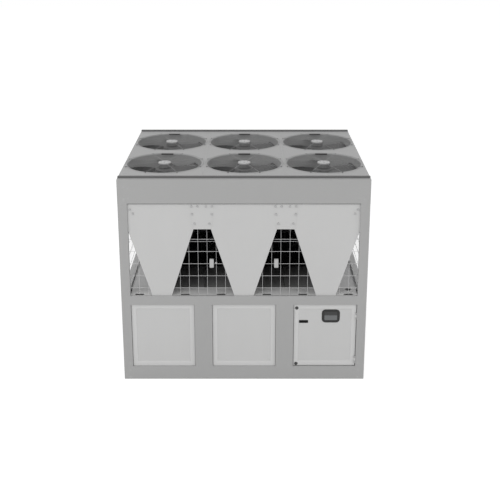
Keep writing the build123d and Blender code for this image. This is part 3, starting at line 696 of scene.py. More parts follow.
def carried(path: np.ndarray, section: np.ndarray, normal: Triple, closed: bool) -> Surface:
    """A section carried along a flat path.

    A point is the path's point, plus the section's first coordinate times the path's side direction,
    which is its tangent crossed with the normal, plus its second coordinate times the normal.

    Args:
        path: points of the path, (n, 3), in a plane.
        section: outline of the section, (m, 2).
        normal: the plane's normal.
        closed: whether the path's end meets its start.

    Returns:
        The swept surface, capped where the path is open.
    """
    up = np.asarray(normal, float)
    along = np.roll(path, -1, 0) - np.roll(path, 1, 0) if closed else np.gradient(path, axis=0)
    along /= np.linalg.norm(along, axis=1, keepdims=True)
    across = np.cross(along, up)
    points = path[:, None] + section[None, :, :1] * across[:, None] + section[None, :, 1:] * up
    rows, columns = len(path), len(section)
    faces = [grid_faces(rows, columns, closed, True)]
    if not closed:
        cap = np.arange(columns)
        faces.append(np.stack([cap[::-1], cap + (rows - 1) * columns]))
    return Surface(points.reshape(-1, 3), faces)


def revolved(profile: np.ndarray, count: int, ring: bool = False) -> Surface:
    """A profile of (radius, height) pairs turned about Z.

    A point is (radius cos angle, radius sin angle, height).

    Args:
        profile: the pairs, (m, 2).
        count: steps round.
        ring: whether the profile is a closed loop away from the axis.

    Returns:
        The turned surface.
    """
    turn = circle(1.0, count)
    plane = turn[:, None] * profile[None, :, :1]
    height = np.broadcast_to(profile[None, :, 1:], (count, len(profile), 1))
    points = np.concatenate([plane, height], -1).reshape(-1, 3)
    return Surface(points, [grid_faces(count, len(profile), True, ring)])


def rounded_outline(width: float, height: float, corner: float, steps: int = 5) -> np.ndarray:
    """A rectangle's outline with quarter circles at its corners, about its centre.

    A point is its corner's centre plus the corner radius times the cosine and sine of its angle.

    Args:
        width: size across.
        height: size up.
        corner: radius of its corners.
        steps: points on each corner.

    Returns:
        The outline, (points, 2), counterclockwise.
    """
    angle = quarter_turn(steps)
    quarter = np.stack([np.cos(angle), np.sin(angle)], -1) * corner
    inner = np.array([width / 2 - corner, height / 2 - corner])
    turns = [np.array([[c, -s], [s, c]]) for c, s in ((1, 0), (0, 1), (-1, 0), (0, -1))]
    places = inner * np.array([[1, 1], [-1, 1], [-1, -1], [1, -1]])
    return np.concatenate([quarter @ turn.T + place for turn, place in zip(turns, places)])


def cushion_slab(width: float, height: float, depth: float, corner: float, edge: float) -> Surface:
    """A flat slab in the XY plane, with rounded corners and a rolled upper edge.

    A point is the outline drawn in by an inset, at a height. Over the edge, the inset is the edge
    radius times one minus the cosine of an angle, and the height falls short by one minus its sine.

    Args:
        width: size along X.
        height: size along Y.
        depth: size along Z, from zero up.
        corner: radius of its corners.
        edge: radius of its upper edge.

    Returns:
        The closed slab.
    """
    outline = rounded_outline(width, height, corner)
    angle = quarter_turn()
    inset = np.concatenate([[0.0], edge * (1 - np.cos(angle))])
    level = np.concatenate([[0.0], depth - edge * (1 - np.sin(angle))])
    shrink = 1 - inset[:, None] * 2 / np.array([width, height])
    flat = outline[None] * shrink[:, None]
    rise = np.broadcast_to(level[:, None, None], (*flat.shape[:2], 1))
    points = np.concatenate([flat, rise], -1).reshape(-1, 3)
    cap = np.arange(len(outline))
    faces = [grid_faces(len(level), len(outline), False, True),
             np.stack([cap[::-1], cap + (len(level) - 1) * len(outline)])]
    return Surface(points, faces)


def strip_box(low: Triple, high: Triple) -> Surface:
    """A thin strip between two corners: every choice of low or high along each axis is a corner.

    Args:
        low: the lowest corner.
        high: the highest corner.

    Returns:
        The closed strip.
    """
    pick = np.array([[0, 0, 0], [1, 0, 0], [1, 1, 0], [0, 1, 0], [0, 0, 1], [1, 0, 1], [1, 1, 1], [0, 1, 1]])
    points = np.where(pick == 1, np.asarray(high, float), np.asarray(low, float))
    faces = np.array([[3, 2, 1, 0], [4, 5, 6, 7], [0, 1, 5, 4], [1, 2, 6, 5], [2, 3, 7, 6], [3, 0, 4, 7]])
    return Surface(points, [faces])


@dataclass(frozen=True)
class HexBolt:
    """A flanged hexagon head."""

    across_flats: float = 0.016
    flange: float = 0.0115
    flange_taper: float = 0.97
    flange_edge: float = 0.7
    flange_height: float = 0.002
    height: float = 0.0095
    chamfer_circle: float = 0.96
    chamfer_drop: float = 0.07
    steps: int = 12

    def surface(self) -> Surface:
        """The head on Z.

        Its radius at an angle is half the width across flats over the cosine of the angle from the
        nearest flat's middle. The top row is a circle just inside the flats, which makes the chamfer.

        Returns:
            The closed head.
        """
        angle = np.arange(self.steps) * (2 * math.pi / self.steps)
        off_flat = (angle + math.pi / 6) % (math.pi / 3) - math.pi / 6
        hexagon = self.across_flats / 2 / np.cos(off_flat)
        flange = np.full(self.steps, self.flange)
        chamfer = np.full(self.steps, self.across_flats / 2 * self.chamfer_circle)
        zero = np.zeros(self.steps)
        radius = np.stack([zero, flange, flange * self.flange_taper, hexagon, hexagon, chamfer, zero])
        levels = [0.0, 0.0, self.flange_height * self.flange_edge, self.flange_height,
                  self.height - self.across_flats * self.chamfer_drop, self.height, self.height]
        level = np.broadcast_to(np.array(levels)[:, None], radius.shape)
        points = np.stack([radius * np.cos(angle), radius * np.sin(angle), level], -1)
        return Surface(points.reshape(-1, 3), [grid_faces(len(levels), self.steps, False, True)])


@dataclass(frozen=True)
class PanScrew:
    """A low domed screw head with a washer face."""

    radius: float = 0.0065
    height: float = 0.0032
    steps: int = 10

    def surface(self) -> Surface:
        """The head on Z: its height over the radius follows a flattened quarter ellipse.

        Returns:
            The head.
        """
        angle = quarter_turn()
        dome = np.stack([self.radius * np.cos(angle), self.height * np.sin(angle)], -1)
        return revolved(np.concatenate([[[0.0, 0.0]], dome]), self.steps)


@dataclass(frozen=True)
class Rivet:
    """A countersunk head, flush with the sheet: a flat disc with a shallow dimple."""

    radius: float = 0.0075
    height: float = 0.0001
    shares: tuple[float, ...] = (0.0, 0.55, 0.62, 1.0, 1.0)
    rises: tuple[float, ...] = (0.3, 0.3, 1.0, 1.0, 0.0)
    steps: int = 16

    def surface(self) -> Surface:
        """The head on Z: its height is lower in the middle, over shares of the radius and the height."""
        profile = np.stack([self.shares, self.rises], -1) * np.array([self.radius, self.height])
        return revolved(profile, self.steps)


@dataclass
class Workshop:
    """Turns surfaces into the object's pieces."""

    finishes: Finishes
    made: list[str] = field(default_factory=list)

    def piece(self, name: str, surface: Surface, body: Body, slot: str, *nodes: str) -> None:
        """Make one piece, give it its finish and let it ride.

        Args:
            name: the piece's name.
            surface: its shape, in place.
            body: the body that carries it.
            slot: the record's slot of its finish.
            nodes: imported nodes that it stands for.
        """
        made = bpy.data.objects.new(name, surface.mesh(name))
        bpy.context.scene.collection.objects.link(made)
        made.data.materials.append(self.finishes[slot])
        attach(made, body.value)
        if nodes:
            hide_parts(*nodes)
        self.made.append(name)
        LOG.info("%s: %d faces on %s", name, len(made.data.polygons), body.value)


@dataclass(frozen=True)
class Casing:
    """Sizes that several sub-assemblies share."""

    pitch: float = 0.764
    half_width: float = 1.146
    half_depth: float = 1.03
    post_width: float = 0.086
    panel_recess: float = 0.014
    floor: float = LEDGE_LEVEL
    fascia_bottom: float = 1.76
    top: float = 1.985
    v_foot: float = 0.09
    v_angle: float = math.radians(18)

    @property
    def centres(self) -> np.ndarray:
        """Centres of the three modules along X."""
        return np.array([-self.pitch, 0.0, self.pitch])

    @property
    def seams(self) -> np.ndarray:
        """Where the modules meet along X."""
        return np.array([-self.pitch / 2, self.pitch / 2])

    def v_half(self, height: float | np.ndarray) -> float | np.ndarray:
        """Half the width of a V at a height: its foot plus the rise times the slope."""
        return self.v_foot + (height - self.floor) * math.tan(self.v_angle)


def stood(flat: np.ndarray, side: Side, out: float) -> np.ndarray:
    """Points (across, up, out) stood up on a side of the casing, and moved out."""
    return (flat + np.array([0.0, 0.0, out])) @ side.basis().T


@dataclass
class WireGuards:
    """Welded guards of round wire in the front openings and along both sides."""

    casing: Casing
    wire: float = 0.0018
    wire_sides: int = 8
    upright_share: float = 0.72
    upright_pitch: float = 0.084
    aisle_uprights: int = 6
    end_uprights: int = 2
    side_uprights: int = 23
    cross_pitch: float = 0.12
    cross_start: float = 0.072
    brace_level: float = 1.387
    brace_depth: float = 0.006
    brace_share: float = 0.7
    shortest: float = 0.02
    clearance: float = 0.001
    front_setback: float = 0.009
    side_setback: float = 0.004
    gusset_bottom: float = 1.512

    def straight(self, start: Triple, end: Triple, radius: float) -> Surface:
        """One straight wire between two points (across, up, out)."""
        return carried(np.array([start, end], float), circle(radius, self.wire_sides), UP, False)

    def mesh(self, outline: np.ndarray, uprights: np.ndarray, heights: np.ndarray) -> Surface:
        """Uprights in front and cross wires behind them, all cut to a convex outline.

        A wire runs between the two points where its line meets the outline, found by interpolating
        the outline's edges.

        Args:
            outline: corners (across, up), counterclockwise.
            uprights: where the uprights stand across.
            heights: where the cross wires lie up.

        Returns:
            The guard, with its front wires centred near zero out.
        """
        upright = self.wire * self.upright_share
        parts = []
        for index, places, depth, wire in ((0, uprights, self.wire - upright, upright),
                                           (1, heights, -upright - self.wire, self.wire)):
            for place in places:
                span = self.crossing(outline, index, place)
                if span is None:
                    continue
                ends = [(place, level, depth) if index == 0 else (level, place, depth) for level in span]
                parts.append(self.straight(*ends, wire))
        return Surface.joined(parts)

    def brace(self, outline: np.ndarray) -> Surface:
        """A thinner cross wire in a layer of its own, a little under the top one.

        Args:
            outline: corners (across, up), counterclockwise.

        Returns:
            The wire.
        """
        low, high = self.crossing(outline, 1, self.brace_level)
        ends = [(level, self.brace_level, -self.brace_depth) for level in (low, high)]
        return self.straight(*ends, self.wire * self.brace_share)

    def crossing(self, outline: np.ndarray, index: int, place: float) -> Pair | None:
        """Where a line across an outline enters and leaves it.

        A crossing is an edge's start plus the share of the edge where the line meets it.

        Args:
            outline: corners (across, up), counterclockwise.
            index: 0 for a line at a place across, 1 for a line at a height.
            place: that place or height.

        Returns:
            The lowest and highest crossing along the other axis, or None where the wire would be too short.
        """
        start, end = outline, np.roll(outline, -1, 0)
        run = end[:, index] - start[:, index]
        none = np.full(len(run), -1.0)
        share = np.divide(place - start[:, index], run, out=none, where=np.abs(run) > LEVEL_RUN)
        hit = (share >= 0) & (share <= 1)
        level = (start[:, 1 - index] + share * (end[:, 1 - index] - start[:, 1 - index]))[hit]
        return (level.min(), level.max()) if len(level) >= 2 and np.ptp(level) > self.shortest else None

    def heights(self, top: float) -> np.ndarray:
        """Heights of the cross wires under a level."""
        return np.arange(self.casing.floor + self.cross_start, top - self.wire, self.cross_pitch)

    def front(self) -> Surface:
        """The front guard: a mesh and a brace in each aisle, and a mesh beside each end V.

        Returns:
            The guard, flat.
        """
        casing, top = self.casing, self.gusset_bottom
        foot, head = (casing.pitch / 2 - casing.v_half(level) - self.clearance
                      for level in (casing.floor, top))
        parts = []
        for seam in casing.seams:
            outline = np.array([[seam - foot, casing.floor], [seam + foot, casing.floor],
                                [seam + head, top], [seam - head, top]])
            uprights = seam + spread(self.aisle_uprights, self.upright_pitch)
            parts += [self.mesh(outline, uprights, self.heights(top)), self.brace(outline)]
        inner = casing.half_width - casing.post_width - self.clearance
        start = casing.centres[-1] + casing.v_foot + self.clearance
        peak = casing.floor + (inner - start) / math.tan(casing.v_angle)
        outline = np.array([[start, casing.floor], [inner, casing.floor], [inner, peak]])
        uprights = inner - self.upright_pitch * np.arange(1, self.end_uprights + 1)
        end = self.mesh(outline, uprights, self.heights(peak - self.cross_pitch / 2))
        mirrored = Surface(end.points * np.array([-1.0, 1.0, 1.0]), end.faces)
        return Surface.joined([*parts, end, mirrored])

    def side(self) -> Surface:
        """A side guard: one mesh between the posts, from the ledge to the fascia.

        Returns:
            The guard, flat.
        """
        casing = self.casing
        reach = casing.half_depth - casing.post_width - self.clearance
        top = casing.fascia_bottom - self.clearance
        outline = np.array([[-reach, casing.floor], [reach, casing.floor], [reach, top], [-reach, top]])
        return self.mesh(outline, spread(self.side_uprights, self.upright_pitch), self.heights(top))

    def build(self, shop: Workshop) -> None:
        """Make the front guard and both side guards.

        Args:
            shop: where the pieces are made.
        """
        casing, front, side = self.casing, self.front(), self.side()
        front_out = casing.half_depth - casing.panel_recess - self.front_setback - self.wire
        side_out = casing.half_width - self.side_setback - self.wire
        for name, flat, turn, out in (("front", front, Side.FRONT, front_out),
                                      ("right", side, Side.RIGHT, side_out),
                                      ("left", side, Side.LEFT, side_out)):
            guard = Surface(stood(flat.points, turn, out), flat.faces)
            shop.piece(f"{name}_guard_wires", guard, Body.CASING, "guard_wire", f"wire_guard_{name}")


@dataclass
class FanTops:
    """What covers each fan: a bead round the throat, a wire guard, a cap and a terminal box."""

    casing: Casing
    places: np.ndarray
    bead: Pair = (0.3575, 0.380)
    bead_height: float = 0.005
    bead_steps: int = 96
    arch_steps: int = 9
    rings: int = 11
    ring_radii: Pair = (0.088, 0.371)
    ring_wire: float = 0.0012
    ring_sides: int = 6
    ring_steps: int = 72
    arms: int = 8
    arm_wire: float = 0.0021
    arm_sides: int = 8
    arm_reach: float = 0.387
    arm_root: float = 0.8
    arm_steps: int = 9
    rim_level: float = 0.0066
    dome: float = 0.0045
    foot_inset: float = 0.004
    foot_level: float = 0.0045
    foot_screw: PanScrew = PanScrew()
    cap_radius: float = 0.061
    cap_height: float = 0.0138
    cap_rows: tuple[Pair, ...] = ((0.0, 0.001), (0.3, 0.001), (0.34, 0.0), (0.78, 0.0), (0.82, 0.0012),
                                  (0.9, 0.0012), (0.96, 0.002), (1.0, 0.005))
    cap_steps: int = 48
    cap_screw: PanScrew = PanScrew(0.006, 0.0014)
    cap_screws: int = 4
    cap_screw_share: float = 0.56
    cap_screw_sunk: float = 0.0002
    box_size: Triple = (0.12, 0.03, 0.0085)
    box_corner: float = 0.005
    box_edge: float = 0.0025
    box_sunk: float = 0.002
    box_from_centre: float = 0.322

    def level(self, radius: float | np.ndarray) -> float | np.ndarray:
        """Height of the guard over the deck: its rim's, plus the dome times one minus the radius squared."""
        return self.rim_level + self.dome * (1 - np.clip(radius / self.ring_radii[1], 0.0, 1.0) ** 2)

    def guard_rings(self) -> Surface:
        """Evenly spaced rings of round wire that follow the dome.

        Returns:
            One fan's rings.
        """
        section = circle(self.ring_wire, self.ring_sides)
        radii = np.linspace(*self.ring_radii, self.rings)
        return Surface.joined([carried(at_height(circle(radius, self.ring_steps), level), section, UP, True)
                               for radius, level in zip(radii, self.level(radii))])

    def arm_turns(self) -> np.ndarray:
        """Angles of the arms, evenly spaced and half a step off X."""
        return (np.arange(self.arms) + 0.5) * (2 * math.pi / self.arms)

    def guard_arms(self) -> Surface:
        """Thicker wires out from the cap, under the rings and down to the deck past the bead.

        One arm is a round wire carried along its line in the XZ plane, and each copy is turned about Z
        by its angle.

        Returns:
            One fan's arms.
        """
        reach = np.linspace(self.cap_radius * self.arm_root, self.ring_radii[1], self.arm_steps)
        radius = np.append(reach, self.arm_reach)
        level = np.append(self.level(reach) - self.ring_wire, self.arm_wire)
        path = np.stack([radius, np.zeros_like(radius), level], -1)
        arm = carried(path, circle(self.arm_wire, self.arm_sides), (0.0, 1.0, 0.0), False)
        c, s = np.cos(self.arm_turns()), np.sin(self.arm_turns())
        none, one = np.zeros(self.arms), np.ones(self.arms)
        turns = np.stack([c, -s, none, s, c, none, none, none, one], -1).reshape(-1, 3, 3)
        return arm.repeated(np.zeros((self.arms, 3)), turns)

    def bead_ring(self) -> Surface:
        """Half-round bead: the profile is the upper half of a flattened ellipse, closed underneath.

        Returns:
            One fan's bead.
        """
        middle, half = sum(self.bead) / 2, (self.bead[1] - self.bead[0]) / 2
        angle = np.linspace(0, math.pi, self.arch_steps)
        arch = np.stack([middle + half * np.cos(angle), self.bead_height * np.sin(angle)], -1)
        return revolved(arch, self.bead_steps, True)

    def cap(self) -> Surface:
        """Dished motor cap: flat middle, a shallow groove, a rolled edge and a skirt.

        The profile's rows are a share of the radius and a drop from the top.

        Returns:
            One fan's cap.
        """
        rows = np.array([*self.cap_rows, (1.0, self.cap_height), (0.0, self.cap_height)])
        profile = np.stack([rows[:, 0] * self.cap_radius, self.cap_height - rows[:, 1]], -1)
        return revolved(profile, self.cap_steps)

    def screws(self) -> Surface:
        """Screws through the arms' feet and in the cap.

        Returns:
            One fan's screws.
        """
        angle, reach = self.arm_turns(), self.arm_reach - self.foot_inset
        feet = at_height(np.stack([reach * np.cos(angle), reach * np.sin(angle)], -1), self.foot_level)
        cap = at_height(circle(self.cap_radius * self.cap_screw_share, self.cap_screws),
                        self.cap_height - self.cap_screw_sunk)
        return Surface.joined([self.foot_screw.surface().repeated(feet),
                               self.cap_screw.surface().repeated(cap)])

    def terminal_box(self) -> Surface:
        """A flat box on the guard, behind the cap.

        Returns:
            One fan's box.
        """
        box = cushion_slab(*self.box_size, self.box_corner, self.box_edge)
        level = self.level(self.box_from_centre) - self.box_sunk
        return box.repeated(np.array([[0.0, self.box_from_centre, level]]))

    def build(self, shop: Workshop) -> None:
        """Make the parts of all the fans, each kind as one piece.

        Args:
            shop: where the pieces are made.
        """
        decks = at_height(self.places[:, :2], self.casing.top)
        guard = Surface.joined([self.guard_rings(), self.guard_arms()])
        for name, part, slot, nodes in (("throat_beads", self.bead_ring(), "deck_paint", ()),
                                        ("fan_guard_wires", guard, "guard_coating", ("fan_guards",)),
                                        ("fan_caps", self.cap(), "sensor_plastic", ()),
                                        ("fan_screws", self.screws(), "lock_zinc", ()),
                                        ("fan_terminal_boxes", self.terminal_box(), "pull_black", ())):
            shop.piece(name, part.repeated(decks), Body.CASING, slot, *nodes)


@dataclass
class CoilFaces:
    """Fins and sheet-metal surrounds on the outer faces of the six coils."""

    casing: Casing
    inset: float = 0.014
    foot: float = 0.87
    half_length: float = 0.934
    fin_pitch: float = 0.005
    fin_thickness: float = 0.0007
    fin_proud: float = 0.003
    border: float = 0.028
    border_proud: float = 0.0045
    sunk: float = 0.0005

    def face(self, centre: float, side: int) -> tuple[np.ndarray, np.ndarray, np.ndarray]:
        """A coil's outer face, in X and Z.

        Args:
            centre: the module's centre along X.
            side: -1 or 1, for the left or right coil.

        Returns:
            Its foot, its head, and the direction out of it.
        """
        casing = self.casing
        levels = np.array([self.foot, casing.fascia_bottom])
        across = centre + side * (casing.v_half(levels) - self.inset / math.cos(casing.v_angle))
        foot, head = np.stack([across, levels], -1)
        return foot, head, np.array([side * math.cos(casing.v_angle), -math.sin(casing.v_angle)])

    def slat(self, centre: float, side: int, shares: Pair, y: Pair, proud: float) -> Surface:
        """A strip on a coil's face.

        Its corners are the face's foot plus a share of the way to its head, pushed out of the face.

        Args:
            centre: the module's centre along X.
            side: -1 or 1, for the left or right coil.
            shares: shares of the way up where it starts and ends.
            y: where it starts and ends along Y.
            proud: how far it stands out.

        Returns:
            The closed strip.
        """
        foot, head, out = self.face(centre, side)
        flat = strip_box((shares[0], y[0], -self.sunk), (shares[1], y[1], proud))
        share, along, rise = flat.points.T
        plane = foot + share[:, None] * (head - foot) + rise[:, None] * out
        return Surface(np.stack([plane[:, 0], along, plane[:, 1]], -1), flat.faces)

    def build(self, shop: Workshop) -> None:
        """Make the fins of all the coils, and their surrounds.

        Args:
            shop: where the pieces are made.
        """
        reach, half = self.half_length, self.fin_thickness / 2
        along = spread(int(2 * (reach - self.border) / self.fin_pitch), self.fin_pitch)
        places = np.stack([np.zeros_like(along), along, np.zeros_like(along)], -1)
        fins, borders = [], []
        for centre, side in ((centre, side) for centre in self.casing.centres for side in (-1, 1)):
            foot, head, _ = self.face(centre, side)
            share = self.border / float(np.linalg.norm(head - foot))
            between = (share, 1 - share)
            fins.append(self.slat(centre, side, between, (-half, half), self.fin_proud).repeated(places))
            strips = (((0.0, share), (-reach, reach)), ((1 - share, 1.0), (-reach, reach)),
                      (between, (-reach, -reach + self.border)), (between, (reach - self.border, reach)))
            borders += [self.slat(centre, side, shares, y, self.border_proud) for shares, y in strips]
        shop.piece("coil_fins", Surface.joined(fins), Body.CASING, "coil_black")
        # The surrounds take the floor's coat: its painted light on the outer coils, its painted shade in the
        # aisles.
        shop.piece("coil_surrounds", Surface.joined(borders), Body.CASING, "tray_coating")


@dataclass
class Fasteners:
    """Bolt heads on the gussets and the V plates, flush rivets on the frame, and screws along the deck."""

    casing: Casing
    bolt: HexBolt = HexBolt()
    gusset_out: float = 1.018
    gusset_rows: tuple[tuple[float, tuple[float, ...]], ...] = (
        (1.731, (-0.096, -0.04, 0.037, 0.092)), (1.657, (-0.09, 0.09)), (1.567, (-0.068, 0.068)))
    plate_bolts: tuple[Pair, ...] = ((1.036, 1.70), (1.01, 1.662))
    rivet: Rivet = Rivet()
    post_rivets: tuple[Pair, ...] = ((1.088, 1.915), (1.047, 1.900), (1.088, 1.800), (1.047, 1.812),
                                     (1.088, 0.166), (1.088, 0.094), (1.088, 0.02))
    deck_screw: PanScrew = PanScrew(0.006, 0.003)
    deck_pitch: float = 0.118
    deck_margin: float = 0.014
    deck_end: float = 0.075

    def both_faces(self, spots: np.ndarray, out: float, head: Surface) -> Surface:
        """The same heads on the front and on the back.

        Args:
            spots: where they sit on the front, (across, up).
            out: how far out of the centre the face lies.
            head: one head on Z.

        Returns:
            All the heads.
        """
        parts = []
        for side in (Side.FRONT, Side.BACK):
            flat = at_height(spots * np.array([math.cos(side.value), 1.0]), 0.0)
            parts.append(head.repeated(stood(flat, side, out), side.basis()))
        return Surface.joined(parts)

    @staticmethod
    def mirrored(spots: tuple[Pair, ...]) -> np.ndarray:
        """Spots (across, up), on the left and on the right."""
        return np.array([(side * across, level) for side in (-1, 1) for across, level in spots])

    def deck_screws(self) -> Surface:
        """Screws along each deck panel's long sides.

        Returns:
            All the screws.
        """
        casing = self.casing
        reach = casing.half_depth - self.deck_end
        along = np.linspace(-reach, reach, int(2 * reach / self.deck_pitch))
        half = casing.pitch / 2 - self.deck_margin
        lines = (casing.centres[:, None] + np.array([-half, half])[None]).ravel()
        spots = np.stack([np.repeat(lines, len(along)), np.tile(along, len(lines))], -1)
        return self.deck_screw.surface().repeated(at_height(spots, casing.top))

    def build(self, shop: Workshop) -> None:
        """Make every set of fasteners.

        Args:
            shop: where the pieces are made.
        """
        casing, bolt = self.casing, self.bolt.surface()
        gussets = np.array([(seam + off, level) for seam in casing.seams
                            for level, offs in self.gusset_rows for off in offs])
        plate_out = casing.half_depth - casing.panel_recess
        plates = self.both_faces(self.mirrored(self.plate_bolts), plate_out, bolt)
        rivets = self.both_faces(self.mirrored(self.post_rivets), casing.half_depth, self.rivet.surface())
        for name, heads in (("gusset_bolts", self.both_faces(gussets, self.gusset_out, bolt)),
                            ("v_plate_bolts", plates), ("frame_rivets", rivets),
                            ("deck_screws", self.deck_screws())):
            shop.piece(name, heads, Body.CASING, "hinge_zinc")


@dataclass
class DoorTrim:
    """The door's window, as a pane in a thick rounded bezel, and the rims round its locks."""

    casing: Casing
    window_node: str = "door_window"
    lock_nodes: tuple[str, ...] = ("lower_lock", "upper_lock")
    rim: float = 0.026
    rim_fullness: float = 0.6
    rim_steps: int = 9
    proud: float = 0.0025
    corner: float = 0.036
    corner_steps: int = 8
    pane_depth: float = 0.003
    pane_edge: float = 0.001
    lock_rim: Pair = (0.0115, 0.0165)
    lock_rim_height: float = 0.0022
    lock_rim_bevel: float = 0.25
    lock_rim_steps: int = 24

    def window(self) -> tuple[np.ndarray, float, float]:
        """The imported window.

        Returns:
            The middle of its back face on the panel, its width and its height, the last two less the rim.
        """
        low, high = (np.array(corner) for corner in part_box(self.window_node))
        middle = (low + high) / 2
        place = np.array([middle[0], low[1] + self.pane_depth, middle[2]])
        return place, high[0] - low[0] - self.rim, high[2] - low[2] - self.rim

    def bezel(self) -> Surface:
        """A rounded frame round the pane: an outline carried round its own middle line.

        The path is a rectangle with rounded corners. The section's first coordinate is the cosine of an
        angle times half the rim, and its second is the angle's sine, to a power that fills it out,
        times the depth.

        Returns:
            The bezel, in place.
        """
        place, width, height = self.window()
        path = rounded_outline(width, height, self.corner - self.rim / 2, self.corner_steps)
        angle = np.linspace(0, math.pi, self.rim_steps)
        depth = self.pane_depth + self.proud
        section = np.stack([np.cos(angle) * self.rim / 2, np.sin(angle) ** self.rim_fullness * depth], -1)
        return carried(at_height(path, 0.0), section, UP, True).repeated(place[None], Side.FRONT.basis())

    def pane(self) -> Surface:
        """The pane inside the bezel, with its own rounded corners.

        Returns:
            The pane, in place.
        """
        place, width, height = self.window()
        slab = cushion_slab(width, height, self.pane_depth, self.corner - self.rim / 2, self.pane_edge)
        return slab.repeated(place[None], Side.FRONT.basis())

    def lock_rims(self) -> Surface:
        """A raised ring round each lock's head: a flat-topped loop turned about the lock.

        Returns:
            Both rings, in place.
        """
        inner, outer = self.lock_rim
        bevel, top = (outer - inner) * self.lock_rim_bevel, self.lock_rim_height
        profile = np.array([[inner, 0.0], [outer, 0.0], [outer - bevel, top], [inner + bevel / 2, top]])
        middles = [(np.array(low) + np.array(high)) / 2 for low, high in map(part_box, self.lock_nodes)]
        heads = [joint["pos_m"] for joint in frame["joints"] if joint["child"] in self.lock_nodes]
        face = self.casing.panel_recess - self.casing.half_depth
        places = np.array([[middle[0], face, head[2]] for middle, head in zip(middles, heads)])
        return revolved(profile, self.lock_rim_steps, True).repeated(places, Side.FRONT.basis())

    def build(self, shop: Workshop) -> None:
        """Make the door's trim.

        Args:
            shop: where the pieces are made.
        """
        shop.piece("window_bezel", self.bezel(), Body.DOOR, "pull_black")
        shop.piece("window_pane", self.pane(), Body.DOOR, "window_dark", self.window_node)
        shop.piece("lock_rims", self.lock_rims(), Body.DOOR, "pull_black")


@dataclass
class SensorHousings:
    """Two slim housings on the front guards, the left one with a plug beside it."""

    node: str = "sensor_boxes"
    size: Triple = (0.039, 0.082, 0.024)
    corner: float = 0.006
    edge: float = 0.003
    lid_inset: float = 0.006
    lid_proud: float = 0.0015
    lid_edge: float = 0.001
    plug: Triple = (0.018, 0.015, 0.012)
    plug_corner: float = 0.004
    plug_off: float = 0.04

    def build(self, shop: Workshop) -> None:
        """Make both housings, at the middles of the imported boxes' ends.

        Args:
            shop: where the pieces are made.
        """
        low, high = (np.array(corner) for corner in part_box(self.node))
        quarter = (high[2] - low[2]) / 4
        level = (low[2] + high[2]) / 2
        places = np.array([[x, high[1], level] for x in (low[0] + quarter, high[0] - quarter)])
        width, height, depth = self.size
        body = cushion_slab(*self.size, self.corner, self.edge)
        lid = cushion_slab(width - self.lid_inset, height - self.lid_inset, depth + self.lid_proud,
                           self.corner, self.lid_edge)
        plug = cushion_slab(*self.plug, self.plug_corner, self.edge)
        beside = places[:1] + np.array([self.plug_off, 0.0, 0.0])
        parts = [part.repeated(where, Side.FRONT.basis())
                 for part, where in ((body, places), (lid, places), (plug, beside))]
        shop.piece("sensor_housings", Surface.joined(parts), Body.CASING, "sensor_plastic", self.node)


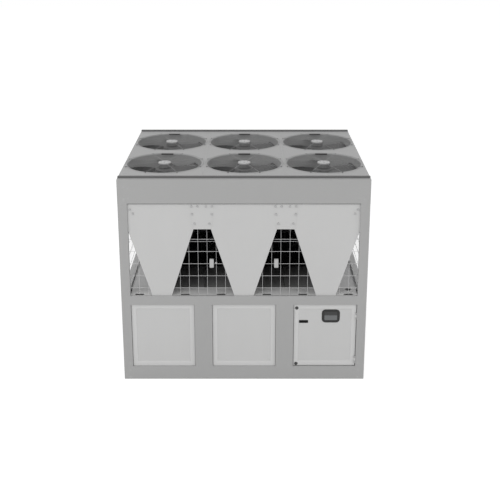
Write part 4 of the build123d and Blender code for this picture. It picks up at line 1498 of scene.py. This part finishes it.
@dataclass
class Studio:
    """Floor, light and camera."""

    floor_reach: float = 40.0
    floor_lines: int = 3
    floor_bounce: float = 0.8
    shadow_depth: float = 0.5
    floor_glow: float = 0.72
    footprint: Pair = (1.13, 1.014)
    world_light: float = 0.78
    key_power: float = 260.0
    key_place: Triple = (-4.5, -6.5, 6.5)
    key_size: float = 6.0
    fill_power: float = 110.0
    fill_place: Triple = (6.5, -4.5, 4.0)
    fill_size: float = 5.0
    target: Triple = (0.0, 0.0, 1.0)
    camera_place: Triple = (0.0372, -8.7490, 4.1658)
    camera_pitch: float = 16.428
    camera_lens: float = 64.35
    camera_sensor: float = 36.0
    camera_shift: Pair = (0.004, -0.12)

    @staticmethod
    def seen(sheet: NodeSheet) -> Socket:
        """One for rays from the camera, from mirrors and through glass, and zero for the rest."""
        path = sheet.node("ShaderNodeLightPath")
        return (path("Is Camera Ray") + path("Is Glossy Ray") + path("Is Transmission Ray")).above(0.5)

    def outside(self, sheet: NodeSheet) -> Socket:
        """Zero on the floor under the casing, where no light falls, and one elsewhere."""
        half_width, half_depth = self.footprint
        return 1.0 - sheet.from_middle("X").under(half_width) * sheet.from_middle("Y").under(half_depth)

    def floor(self) -> None:
        """A pale floor that looks white and keeps the object's shadow."""
        step = np.linspace(-self.floor_reach, self.floor_reach, self.floor_lines)
        x, y = np.meshgrid(step, step, indexing="ij")
        points = at_height(np.stack([x, y], -1).reshape(-1, 2), 0.0)
        faces = grid_faces(self.floor_lines, self.floor_lines, False, False)[:, ::-1]
        mesh = bpy.data.meshes.new("floor")
        mesh.from_pydata(points.tolist(), [], faces.tolist())
        floor = bpy.data.objects.new("floor", mesh)
        bpy.context.scene.collection.objects.link(floor)
        material = bpy.data.materials.new("pale_floor")
        material.use_nodes = True
        sheet = NodeSheet(material.node_tree)
        plain = sheet.node("ShaderNodeBsdfDiffuse", None, {"Color": (*grey(self.floor_bounce), 1.0)})("BSDF")
        shaded = sheet.node("ShaderNodeBsdfDiffuse", None, {"Color": (*grey(self.shadow_depth), 1.0)})("BSDF")
        glow = sheet.node("ShaderNodeEmission", None, {"Color": (*grey(self.floor_glow), 1.0)})("Emission")
        white = sheet.node("ShaderNodeAddShader", None, {0: shaded, 1: glow})("Shader")
        shown = self.seen(sheet) * self.outside(sheet)
        mixed = sheet.node("ShaderNodeMixShader", None, {0: shown, 1: plain, 2: white})("Shader")
        sheet.node("ShaderNodeOutputMaterial", None, {"Surface": mixed})
        mesh.materials.append(material)

    def world(self) -> None:
        """White behind the object, and an even light all round."""
        world = bpy.data.worlds.new("studio")
        world.use_nodes = True
        sheet = NodeSheet(world.node_tree)
        light = sheet.node("ShaderNodeBackground", None, {"Strength": self.world_light})("Background")
        backdrop = {"Color": (*grey(1.0), 1.0), "Strength": 1.0}
        white = sheet.node("ShaderNodeBackground", None, backdrop)("Background")
        mixed = sheet.node("ShaderNodeMixShader", None, {0: self.seen(sheet), 1: light, 2: white})("Shader")
        sheet.node("ShaderNodeOutputWorld", None, {"Surface": mixed})
        bpy.context.scene.world = world

    def lamp(self, name: str, place: Triple, power: float, size: float) -> None:
        """A square soft light that points at the object.

        Args:
            name: the lamp's name.
            place: where it hangs.
            power: its power in watts.
            size: its side in metres.
        """
        data = bpy.data.lights.new(name, "AREA")
        data.energy = power
        data.size = size
        lamp = bpy.data.objects.new(name, data)
        bpy.context.scene.collection.objects.link(lamp)
        lamp.location = place
        lamp.rotation_euler = (Vector(self.target) - Vector(place)).to_track_quat("-Z", "Y").to_euler()

    def camera(self) -> None:
        """The photograph's viewing angle."""
        data = bpy.data.cameras.new("camera")
        data.lens = self.camera_lens
        data.sensor_width = self.camera_sensor
        data.shift_x, data.shift_y = self.camera_shift
        camera = bpy.data.objects.new("camera", data)
        bpy.context.scene.collection.objects.link(camera)
        camera.location = self.camera_place
        camera.rotation_euler = (math.radians(90 - self.camera_pitch), 0.0, 0.0)
        bpy.context.scene.camera = camera

    def build(self) -> None:
        """Set up the studio."""
        self.camera()
        self.floor()
        self.world()
        self.lamp("key", self.key_place, self.key_power, self.key_size)
        self.lamp("fill", self.fill_place, self.fill_power, self.fill_size)
        bpy.context.scene.view_settings.view_transform = "Standard"


def fan_places(joints: list[dict]) -> np.ndarray:
    """Centres of the fans, (fans, 3), from the joints that the rotors turn on."""
    return np.array([joint["pos_m"] for joint in joints if joint["child"].startswith("fan_rotor")])


def main() -> None:
    """Build every sub-assembly in order and report each piece."""
    logging.basicConfig(level=logging.INFO, format="%(message)s")
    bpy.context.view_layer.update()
    Studio().build()
    finishes = Finishes()
    finishes.dress(frame["nodes"], frame["record"]["subparts"])
    shop = Workshop(finishes)
    casing = Casing()
    for assembly in (WireGuards(casing), FanTops(casing, fan_places(frame["joints"])), CoilFaces(casing),
                     Fasteners(casing), DoorTrim(casing), SensorHousings()):
        assembly.build(shop)
    LOG.info("%d pieces", len(shop.made))


if __name__ == "__main__":
    main()
